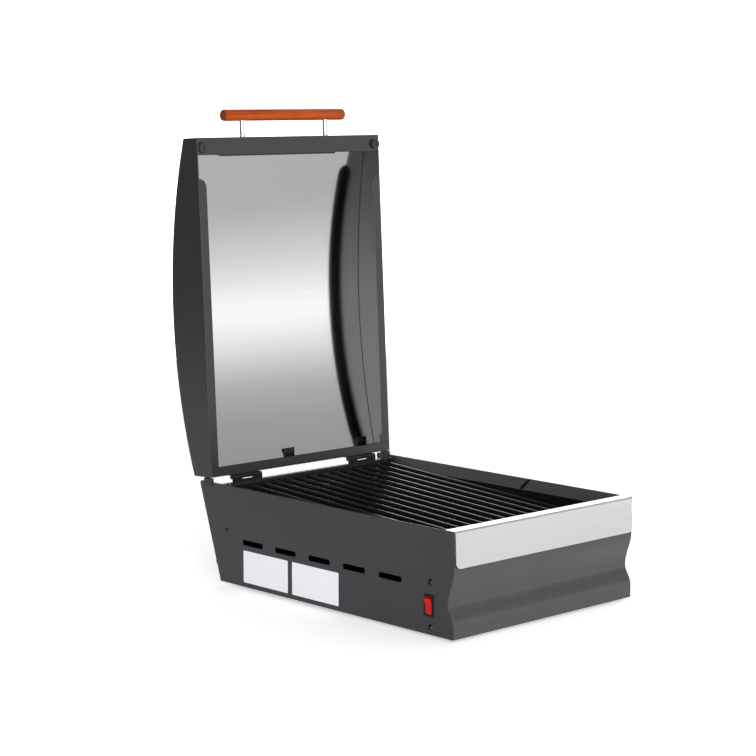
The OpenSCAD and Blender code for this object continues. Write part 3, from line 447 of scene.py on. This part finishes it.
def moulded(name, tint, rough, gloss=0.5):
    """Moulded plastic with a fine spark-eroded grain."""
    f = Finish(name)
    grain = f.noise(2600.0, 1.0)
    cloud = f.noise(70.0, 2.0)
    return f.shade(Base_Color=f.mix(cloud, times(tint, 0.85), times(tint, 1.2)),
                   Roughness=rough + cloud * 0.1, Specular_IOR_Level=gloss,
                   Normal=f.bump(grain, 0.08, 0.04 * MM))


def black_plastic(colours):
    return moulded("black_plastic", colours.black, 0.32, 0.15)


def ceramic(colours):
    return moulded("ceramic", colours.ceramic, 0.55)


def wire_sleeve(colours):
    return moulded("wire_sleeve", colours.sleeve, 0.45)


def red_lens(colours):
    """Clear red plastic of the rocker, a little brighter where light gathers in it."""
    f = Finish("red_lens")
    glow = f.noise(160.0, 2.0)
    tint = f.mix(glow, times(colours.lens, 0.75), times(colours.lens, 1.25))
    return f.shade(Base_Color=tint, Roughness=0.18 + glow * 0.08, Specular_IOR_Level=0.15,
                   Normal=f.bump(glow, 0.03, 0.1 * MM))


def white_plate(colours):
    """White print film with the slight waviness of an adhesive plate."""
    f = Finish("white_plate")
    wave = f.noise(55.0, 2.0)
    speck = f.noise(900.0, 3.0)
    tint = f.mix(speck, times(colours.plate, 0.93), times(colours.plate, 1.03))
    return f.shade(Base_Color=tint, Roughness=0.34 + wave * 0.12,
                   Normal=f.bump(wave, 0.15, 0.15 * MM))


def handle_wood(colours):
    """Oiled hardwood: bands and pores that run along the bar, and darker end grain."""
    f = Finish("handle_wood")
    bands = f.noise(1.0, 4.0, (7.0, 210.0, 210.0), 0.55, 0.6)
    pores = f.noise(1.0, 2.0, (45.0, 1900.0, 1900.0), 0.6)
    blotch = f.noise(24.0, 3.0)
    tone = f.ramp(bands * 0.8 + blotch * 0.2, [
        (0.30, colours.wood_dark), (0.48, tuple(colours.wood_light)),
        (0.60, times(colours.wood_light, 1.25)), (0.74, times(colours.wood_dark, 1.5))])
    grain = f.mix(pores.over(0.62) * 0.45, tone, times(colours.wood_dark, 0.5))
    low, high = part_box("handle_bar")
    from_end = (high.x - low.x) / 2 - (f.across() - (low.x + high.x) / 2).abs()
    soaked, plain = 0.4 * MM, 2.2 * MM
    end = f.node("ShaderNodeMapRange", None, {
        "Value": from_end, "From Min": soaked, "From Max": plain, "To Min": 0.9, "To Max": 0.0})
    return f.shade(Base_Color=f.mix(end, grain, tuple(colours.wood_end)),
                   Roughness=0.30 + pores * 0.20, Specular_IOR_Level=0.16,
                   Normal=f.bump(pores, 0.25, 0.12 * MM))


def floor_paper(colours, glow):
    """Matt studio paper, lit a little from below."""
    f = Finish("floor_paper")
    tooth = f.noise(300.0, 2.0)
    tint = f.mix(tooth, times(colours.floor, 0.99), times(colours.floor, 1.01))
    return f.shade(Base_Color=tint, Roughness=0.9, Emission_Color=(1.0, 1.0, 1.0),
                   Emission_Strength=glow)


MAKERS = {
    "body_paint": body_paint, "front_paint": front_paint, "strip_steel": strip_steel,
    "mirror_steel": mirror_steel, "grate_enamel": black_enamel, "zinc_steel": zinc_steel,
    "rubber": soft_rubber, "handle_wood": handle_wood, "polished_steel": polished_steel,
    "well_steel": well_steel, "element_steel": element_steel, "ceramic": ceramic,
    "wire_sleeve": wire_sleeve, "black_plastic": black_plastic, "brass_tabs": brass_tabs,
    "red_plastic": red_lens, "black_steel": black_steel, "plate_white": white_plate,
}
MADE = {}


def finish_for(slot):
    """The material of a record slot, made the first time that it is asked for."""
    maker = MAKERS[slot]
    if maker not in MADE:
        MADE[maker] = maker(bpy.context.scene.grill_colours)
    return MADE[maker]


# Modelling


def start_fresh():
    """Leaves edit mode and deselects everything."""
    if bpy.context.object is not None and bpy.context.object.mode != "OBJECT":
        bpy.ops.object.mode_set(mode="OBJECT")
    bpy.ops.object.select_all(action="DESELECT")


def pick(*objects):
    """Selects only these pieces, the first one active."""
    start_fresh()
    for obj in objects:
        obj.select_set(True)
    bpy.context.view_layer.objects.active = objects[0]


def edit(obj):
    """Opens a piece for editing with all its faces selected."""
    pick(obj)
    bpy.ops.object.mode_set(mode="EDIT")
    bpy.ops.mesh.select_mode(type="FACE")
    bpy.ops.mesh.select_all(action="SELECT")


def done():
    """Closes a piece after editing."""
    bpy.ops.object.mode_set(mode="OBJECT")


def select_faces(obj, test):
    """In edit mode, leaves only the faces selected whose normal passes a test."""
    bpy.ops.mesh.select_all(action="DESELECT")
    bpy.ops.object.mode_set(mode="OBJECT")
    for face in obj.data.polygons:
        face.select = test(face.normal)
    bpy.ops.object.mode_set(mode="EDIT")


def modify(obj, kind, **settings):
    """Adds a modifier and applies it."""
    pick(obj)
    modifier = obj.modifiers.new(kind.lower(), kind)
    for key, value in settings.items():
        setattr(modifier, key, value)
    bpy.ops.object.modifier_apply(modifier=modifier.name)


def sharp_edges(obj):
    """The edges of a piece at which its faces meet sharply."""
    edit(obj)
    bpy.ops.mesh.select_mode(type="EDGE")
    bpy.ops.mesh.select_all(action="DESELECT")
    bpy.ops.mesh.edges_select_sharp(sharpness=SMOOTH)
    done()
    return [edge for edge in obj.data.edges if edge.select]


def edit_edges(obj, edges):
    """Opens a piece for editing with only these edges selected."""
    wanted = {edge.index for edge in edges}
    for face in obj.data.polygons:
        face.select = False
    for point in obj.data.vertices:
        point.select = False
    for edge in obj.data.edges:
        edge.select = edge.index in wanted
    bpy.ops.object.mode_set(mode="EDIT")


def long_runs(obj, edges, least):
    """Those edges that hang together over more than a length."""
    runs = {}
    for edge in edges:
        first, second = edge.vertices
        whole = runs.get(first, {first}) | runs.get(second, {second})
        runs.update((end, whole) for end in whole)

    def span(run, axis):
        places = [obj.data.vertices[end].co[axis] for end in run]
        return max(places) - min(places)

    return [edge for edge in edges
            if any(span(runs[edge.vertices[0]], axis) > least for axis in range(3))]


def round_edges(obj, width, segments=2):
    """Rounds every sharp edge and keeps the flats flat."""
    pick(obj)
    bpy.ops.object.shade_smooth_by_angle(angle=SMOOTH)
    modify(obj, "BEVEL", width=width, segments=segments, limit_method="ANGLE", angle_limit=SMOOTH,
           harden_normals=True, use_clamp_overlap=True)


def round_sheet(obj, width, largest_hole):
    """Rounds the sharp edges of a sheet, but leaves the rims of its holes crisp."""
    pick(obj)
    bpy.ops.object.shade_smooth_by_angle(angle=SMOOTH)
    edit_edges(obj, long_runs(obj, sharp_edges(obj), largest_hole))
    bpy.ops.transform.edge_bevelweight(value=1.0)
    done()
    modify(obj, "BEVEL", width=width, segments=3, limit_method="WEIGHT", harden_normals=True,
           use_clamp_overlap=False)


def hand_over(piece, *nodes):
    """Gives a piece the finish of its CAD nodes' slot and their body, and hides those nodes."""
    first = nodes[0]
    piece.data.materials.clear()
    piece.data.materials.append(finish_for(SLOTS[first]))
    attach(piece, NODES[first]["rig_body"])
    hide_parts(*nodes)


def node_copy(node, flat=FLAT):
    """A clean copy of a CAD node: its points joined, and each flat in one face."""
    start_fresh()
    piece = bpy.data.objects.new(node + "_piece", NODES[node].data.copy())
    bpy.context.scene.collection.objects.link(piece)
    edit(piece)
    bpy.ops.mesh.customdata_custom_splitnormals_clear()
    bpy.ops.mesh.remove_doubles(threshold=SAME_POINT)
    bpy.ops.mesh.dissolve_degenerate(threshold=SAME_POINT)
    bpy.ops.mesh.dissolve_limited(angle_limit=flat, use_dissolve_boundaries=True)
    done()
    return piece


def fold(obj, test, width):
    """Rounds the sharp edges whose two ends pass a test, and keeps the flats flat."""
    edges = sharp_edges(obj)
    points = obj.data.vertices
    edit_edges(obj, [edge for edge in edges if all(test(points[end].co) for end in edge.vertices)])
    bpy.ops.mesh.bevel(offset=width, segments=5, affect="EDGES")
    done()
    bpy.ops.object.shade_smooth_by_angle(angle=SMOOTH)
    modify(obj, "WEIGHTED_NORMAL", keep_sharp=True)


def dress(node, edge, segments=2):
    """A copy of a CAD node with rounded edges, in its place."""
    piece = node_copy(node)
    round_edges(piece, edge, segments)
    hand_over(piece, node)


def dress_sheet(node):
    """A copy of a sheet-metal node with rounded edges, in its place."""
    sizes = bpy.context.scene.grill_sizes
    piece = node_copy(node)
    round_sheet(piece, sizes.sheet_edge, sizes.hole)
    hand_over(piece, node)


def add_round(name, radius, depth, centre, turn, sides=48):
    """A cylinder primitive, its place in its mesh."""
    start_fresh()
    bpy.ops.mesh.primitive_cylinder_add(vertices=sides, radius=radius, depth=depth, location=centre,
                                        rotation=turn)
    return settle(name)


def add_block(name, low, high):
    """A cube primitive between two corners, its place in its mesh."""
    start_fresh()
    low, high = Vector(low), Vector(high)
    bpy.ops.mesh.primitive_cube_add(size=1.0, location=(low + high) / 2)
    bpy.context.object.scale = high - low
    return settle(name)


def settle(name):
    """Names a new primitive and moves its place, turn and scale into its mesh."""
    piece = bpy.context.object
    piece.name = name
    piece.data.name = name
    bpy.ops.object.transform_apply(location=True, rotation=True, scale=True)
    return piece


def copies(obj, offsets):
    """Copies of a piece, each with its own mesh, moved by the offsets."""
    made = []
    for offset in offsets:
        pick(obj)
        bpy.ops.object.duplicate(linked=False)
        twin = bpy.context.object
        edit(twin)
        bpy.ops.transform.translate(value=offset)
        done()
        made.append(twin)
    return made


def join(name, *pieces):
    """Makes several pieces one."""
    pick(*pieces)
    bpy.ops.object.join()
    joined = bpy.context.object
    joined.name = name
    return joined


def near(value, place):
    """Whether a coordinate lies on a plane."""
    return abs(value - place) < ON_PLANE


def lid_place(y, z):
    """A point of the closed lid's frame (rear face y = 0, rim z = 0) in its open place."""
    return HINGE + OPEN_TURN @ (Vector((0.0, y, z)) - LID_TO_HINGE)


def arc_through(a, b, c):
    """Centre and radius of the circle through three points of the closed lid's side view."""
    first, second = b - a, c - b
    first_rise = (b.length_squared - a.length_squared) / 2
    second_rise = (c.length_squared - b.length_squared) / 2
    spread = first.x * second.y - first.y * second.x
    centre = Vector(((first_rise * second.y - second_rise * first.y) / spread,
                     (first.x * second_rise - second.x * first_rise) / spread))
    return centre, (a - centre).length


def curved_sheet(name, half, thickness, rear, crown, front, steps=72):
    """A sheet on an arc of the lid: its rear edge section spun about the arc's axis."""
    centre, radius = arc_through(Vector(rear), Vector(crown), Vector(front))
    start = math.atan2(rear[1] - centre.y, rear[0] - centre.x)
    end = math.atan2(front[1] - centre.y, front[0] - centre.x)
    middle = radius + thickness / 2
    section = lid_place(centre.x + middle * math.cos(start), centre.y + middle * math.sin(start))
    start_fresh()
    bpy.ops.mesh.primitive_plane_add(size=1.0, location=section, rotation=(start - OPEN_ANGLE, 0.0, 0.0))
    bpy.context.object.scale = (2 * half, abs(thickness), 1.0)
    piece = settle(name)
    edit(piece)
    bpy.ops.mesh.spin(steps=steps, angle=start - end, center=lid_place(*centre), axis=(1.0, 0.0, 0.0))
    bpy.ops.mesh.select_all(action="SELECT")
    bpy.ops.mesh.remove_doubles(threshold=SAME_POINT)
    bpy.ops.mesh.normals_make_consistent(inside=False)
    done()
    return piece


# Studio


def point_at(obj, target):
    """Turns a lamp or a camera towards a point."""
    obj.rotation_euler = (Vector(target) - obj.location).to_track_quat("-Z", "Y").to_euler()


def add_lamp(name, kind, place, target, **settings):
    """A lamp at a place, turned to a point."""
    bpy.ops.object.light_add(type=kind, location=place)
    lamp = bpy.context.object
    lamp.name = name
    for key, value in settings.items():
        setattr(lamp.data, key, value)
    point_at(lamp, target)


def studio_room(stage):
    """The room around the grill: bright in front and at the horizon, and pale where it is seen."""
    world = bpy.data.worlds.new("studio_room")
    world.use_nodes = True
    room = Finish("studio_room", world.node_tree)
    way = room.node("ShaderNodeTexCoord", out="Generated")
    x, y, up = (room.node("ShaderNodeSeparateXYZ", None, {0: way}, out=letter) for letter in "XYZ")
    bands = room.ramp(up * 0.5 + 0.5, [(height, (light, light, light)) for height, light in ROOM_BANDS])
    band = room.node("ShaderNodeSeparateColor", None, {0: bands})
    front = (ROOM_ROUND + x * ROOM_RIGHT - y * ROOM_FRONT).at_least(ROOM_LEAST)
    back = (x * BACKDROP_X + y * BACKDROP_Y).at_least(0.0)
    level = (1.0 - up.abs()).at_least(0.0)
    glow = band * front + back * back * level * stage.back_glow
    seen = room.node("ShaderNodeLightPath", out="Is Camera Ray")
    background = world.node_tree.nodes["Background"]
    room.feed(background.inputs["Color"], room.mix(seen, glow, (1.0, 1.0, 1.0)))
    background.inputs["Strength"].default_value = stage.room
    return world


# Operators


class GRILL_OT_side_panels(bpy.types.Operator):
    """Left and right side panels with softened folds and vent slots"""

    bl_idname = "grill.side_panels"
    bl_label = "Side panels"

    def execute(self, context):
        for node in ("left_side_panel", "right_side_panel"):
            dress_sheet(node)
        return {"FINISHED"}


class GRILL_OT_front(bpy.types.Operator):
    """Front panel with its S-shaped profile, and the stainless strip over it"""

    bl_idname = "grill.front"
    bl_label = "Front"

    def execute(self, context):
        sizes = context.scene.grill_sizes
        dress_sheet("front_panel")
        back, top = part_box("front_panel")[0].y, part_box("front_strip")[1].z
        strip = node_copy("front_strip", STRIP_FLAT)
        fold(strip, lambda point: near(point.y, back - sizes.strip_t) and near(point.z, top),
             sizes.strip_bend)
        hand_over(strip, "front_strip")
        return {"FINISHED"}


class GRILL_OT_rear_and_base(bpy.types.Operator):
    """Rear panel and base plate"""

    bl_idname = "grill.rear_and_base"
    bl_label = "Rear and base"

    def execute(self, context):
        for node in ("rear_panel", "base_plate"):
            dress_sheet(node)
        return {"FINISHED"}


class GRILL_OT_well(bpy.types.Operator):
    """Well liner, its brackets, the grate's rests, the drip tray and the element's supports"""

    bl_idname = "grill.well"
    bl_label = "Well"

    def execute(self, context):
        for node in ("well_liner", "liner_brackets", "grate_rests", "drip_tray", "element_supports"):
            dress(node, context.scene.grill_sizes.thin_edge)
        return {"FINISHED"}


class GRILL_OT_element(bpy.types.Operator):
    """Heating element, bushes, terminal block and wiring"""

    bl_idname = "grill.element"
    bl_label = "Heating element"

    def execute(self, context):
        for node in ("heating_element", "element_bushes", "terminal_block", "internal_wiring"):
            dress(node, context.scene.grill_sizes.thin_edge)
        return {"FINISHED"}


class GRILL_OT_grate(bpy.types.Operator):
    """Rods with rounded ends on flat cross bars"""

    bl_idname = "grill.grate"
    bl_label = "Grate"

    def execute(self, context):
        sizes = context.scene.grill_sizes
        low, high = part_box("grate")
        radius, tilt = sizes.rod_d / 2, sizes.grate_tilt
        rod_l = (high.y - low.y - sizes.rod_d * math.sin(tilt)) / math.cos(tilt)
        middle = Vector((0.0, (low.y + high.y) / 2,
                         high.z - rod_l / 2 * math.sin(tilt) - radius * math.cos(tilt)))
        pitch = (high.x - low.x - sizes.rod_d) / (sizes.rod_count - 1)
        rod = add_round("grate_rod", radius, rod_l, (low.x + radius, middle.y, middle.z), ALONG_Y,
                        sides=40)
        edit(rod)
        select_faces(rod, lambda normal: abs(normal.y) > FACING)
        bpy.ops.mesh.bevel(offset=sizes.rod_end, segments=4, affect="EDGES")
        done()
        rods = copies(rod, [(i * pitch, 0.0, 0.0) for i in range(1, sizes.rod_count)])
        # Cross bars under the rods: front, middle and rear
        step = rod_l / 2 - sizes.cross_in
        front, top = middle.y - step, middle.z - radius + sizes.cross_sink
        bar = add_block("grate_cross_bar", (low.x, front - sizes.cross_w / 2, top - sizes.cross_h),
                        (high.x, front + sizes.cross_w / 2, top))
        edit(bar)
        bpy.ops.mesh.bevel(offset=sizes.cross_edge, segments=3, affect="EDGES")
        done()
        bars = copies(bar, [(0.0, step, 0.0), (0.0, 2 * step, 0.0)])
        # The level grate is turned to its slope last
        piece = join("grate_piece", rod, *rods, bar, *bars)
        edit(piece)
        bpy.ops.transform.rotate(value=-tilt, orient_axis="X", center_override=middle)
        done()
        bpy.ops.object.shade_smooth_by_angle(angle=SMOOTH)
        hand_over(piece, "grate")
        return {"FINISHED"}


class GRILL_OT_switch(bpy.types.Operator):
    """Switch housing with its bezel, the red rocker and the terminals"""

    bl_idname = "grill.switch"
    bl_label = "Rocker switch"

    def execute(self, context):
        sizes = context.scene.grill_sizes
        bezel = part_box("switch_housing")[0].x
        housing = node_copy("switch_housing")
        fold(housing, lambda point: near(point.x, bezel), sizes.bezel_edge)
        round_edges(housing, sizes.thin_edge)
        hand_over(housing, "switch_housing")
        dress("rocker", sizes.sheet_edge, 3)
        dress("switch_terminals", sizes.fine_edge)
        return {"FINISHED"}


class GRILL_OT_plates(bpy.types.Operator):
    """Two bare white information plates"""

    bl_idname = "grill.plates"
    bl_label = "Information plates"

    def execute(self, context):
        for node in ("info_plate_front", "info_plate_rear"):
            dress(node, context.scene.grill_sizes.fine_edge)
        return {"FINISHED"}


class GRILL_OT_fasteners(bpy.types.Operator):
    """Screws and rivets"""

    bl_idname = "grill.fasteners"
    bl_label = "Fasteners"

    def execute(self, context):
        for node in ("side_screws", "rear_rivets", "foot_screws", "hinge_body_screws",
                     "hinge_lid_screws", "handle_screws"):
            dress(node, context.scene.grill_sizes.thin_edge)
        return {"FINISHED"}


class GRILL_OT_rubber(bpy.types.Operator):
    """Feet, stop pads and lid bumpers"""

    bl_idname = "grill.rubber"
    bl_label = "Rubber parts"

    def execute(self, context):
        for node in ("foot_front_left", "foot_front_right", "foot_rear_left", "foot_rear_right",
                     "left_stop_pad", "right_stop_pad", "lid_bumper_left", "lid_bumper_right"):
            dress(node, context.scene.grill_sizes.rubber_edge, 3)
        return {"FINISHED"}


class GRILL_OT_cord_entry(bpy.types.Operator):
    """Cable gland and its nut"""

    bl_idname = "grill.cord_entry"
    bl_label = "Cord entry"

    def execute(self, context):
        for node in ("cable_gland", "gland_nut"):
            dress(node, context.scene.grill_sizes.sheet_edge, 3)
        return {"FINISHED"}


class GRILL_OT_hinges(bpy.types.Operator):
    """Hinge leaves and pins"""

    bl_idname = "grill.hinges"
    bl_label = "Hinges"

    def execute(self, context):
        for side in ("left", "right"):
            for part in ("hinge_lower_leaf", "hinge_upper_leaf", "hinge_pin"):
                dress(f"{side}_{part}", context.scene.grill_sizes.thin_edge)
        return {"FINISHED"}


class GRILL_OT_lid_shell(bpy.types.Operator):
    """Lid panels, walls and the curved skin"""

    bl_idname = "grill.lid_shell"
    bl_label = "Lid shell"

    def execute(self, context):
        sizes = context.scene.grill_sizes
        for node in ("lid_left_panel", "lid_right_panel", "lid_front_wall", "lid_rear_wall"):
            dress_sheet(node)
        skin = curved_sheet("lid_skin_piece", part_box("lid_skin")[1].x, -sizes.skin_t,
                            (0.0, sizes.lid_rear_h),
                            (-sizes.lid_l / 2, sizes.lid_crown),
                            (-sizes.lid_l, sizes.lid_front_h))
        round_edges(skin, sizes.sheet_edge)
        hand_over(skin, "lid_skin")
        return {"FINISHED"}


class GRILL_OT_lid_liner(bpy.types.Operator):
    """Polished liner, its front retainer and rear clips"""

    bl_idname = "grill.lid_liner"
    bl_label = "Lid liner"

    def execute(self, context):
        sizes = context.scene.grill_sizes
        liner = curved_sheet("lid_liner_piece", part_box("lid_liner")[1].x, sizes.mirror_t,
                             (-sizes.mirror_rear_in, sizes.mirror_rear),
                             (-sizes.lid_l / 2, sizes.mirror_crown),
                             (sizes.mirror_front_in - sizes.lid_l, sizes.mirror_front), steps=96)
        round_edges(liner, sizes.thin_edge)
        hand_over(liner, "lid_liner")
        dress_sheet("liner_retainer")
        dress("liner_clips", sizes.thin_edge)
        return {"FINISHED"}


class GRILL_OT_handle(bpy.types.Operator):
    """Wooden bar on two polished posts"""

    bl_idname = "grill.handle"
    bl_label = "Handle"

    def execute(self, context):
        sizes = context.scene.grill_sizes
        low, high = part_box("handle_bar")
        bar = add_round("handle_bar_piece", (high.z - low.z) / 2, high.x - low.x, (low + high) / 2,
                        ALONG_X, sides=64)
        edit(bar)
        select_faces(bar, lambda normal: abs(normal.x) > FACING)
        bpy.ops.mesh.bevel(offset=sizes.handle_end, segments=8, affect="EDGES")
        done()
        bpy.ops.object.shade_smooth_by_angle(angle=SMOOTH)
        hand_over(bar, "handle_bar")
        for node in ("left_handle_post", "right_handle_post"):
            dress(node, sizes.thin_edge, 3)
        return {"FINISHED"}


class GRILL_OT_stage(bpy.types.Operator):
    """Floor, lights, room and camera"""

    bl_idname = "grill.stage"
    bl_label = "Stage"

    def execute(self, context):
        scene = context.scene
        stage = scene.grill_stage
        start_fresh()
        bpy.ops.mesh.primitive_circle_add(vertices=96, radius=stage.floor_r, fill_type="NGON")
        floor = context.object
        floor.name = "floor"
        floor.data.materials.append(floor_paper(scene.grill_colours, stage.floor_glow))
        add_lamp("top_light", "SUN", stage.top_place, stage.light_aim,
                 energy=stage.top_light, angle=stage.top_spread)
        add_lamp("front_light", "AREA", stage.front_place, stage.light_aim,
                 energy=stage.front_light, size=stage.front_size)
        scene.world = studio_room(stage)
        camera = bpy.data.objects.new("camera", bpy.data.cameras.new("camera"))
        scene.collection.objects.link(camera)
        camera.location = stage.camera
        point_at(camera, stage.target)
        camera.data.lens = stage.lens
        scene.camera = camera
        scene.view_settings.view_transform = "Standard"
        return {"FINISHED"}


PIECE_OPERATORS = (
    GRILL_OT_side_panels, GRILL_OT_front, GRILL_OT_rear_and_base, GRILL_OT_well, GRILL_OT_element,
    GRILL_OT_grate, GRILL_OT_switch, GRILL_OT_plates, GRILL_OT_fasteners, GRILL_OT_rubber,
    GRILL_OT_cord_entry, GRILL_OT_hinges, GRILL_OT_lid_shell, GRILL_OT_lid_liner, GRILL_OT_handle,
    GRILL_OT_stage,
)


class GRILL_PT_panel(bpy.types.Panel):
    """Lists the grill's pieces and settings"""

    bl_idname = "GRILL_PT_panel"
    bl_label = "Electric Grill"
    bl_space_type = "VIEW_3D"
    bl_region_type = "UI"
    bl_category = "Grill"

    def draw(self, context):
        for operator in PIECE_OPERATORS:
            self.layout.operator(operator.bl_idname)
        for group in (context.scene.grill_sizes, context.scene.grill_colours, context.scene.grill_stage):
            for name in group.__annotations__:
                self.layout.prop(group, name)


CLASSES = (GrillSizes, GrillColours, GrillStage, *PIECE_OPERATORS, GRILL_PT_panel)
GROUPS = {"grill_sizes": GrillSizes, "grill_colours": GrillColours, "grill_stage": GrillStage}


def register():
    for cls in CLASSES:
        bpy.utils.register_class(cls)
    for name, group in GROUPS.items():
        setattr(bpy.types.Scene, name, bpy.props.PointerProperty(type=group))


def unregister():
    for name in GROUPS:
        delattr(bpy.types.Scene, name)
    for cls in reversed(CLASSES):
        bpy.utils.unregister_class(cls)


def main():
    register()
    for operator in PIECE_OPERATORS:
        group, name = operator.bl_idname.split(".")
        getattr(getattr(bpy.ops, group), name)()


if __name__ == "__main__":
    main()
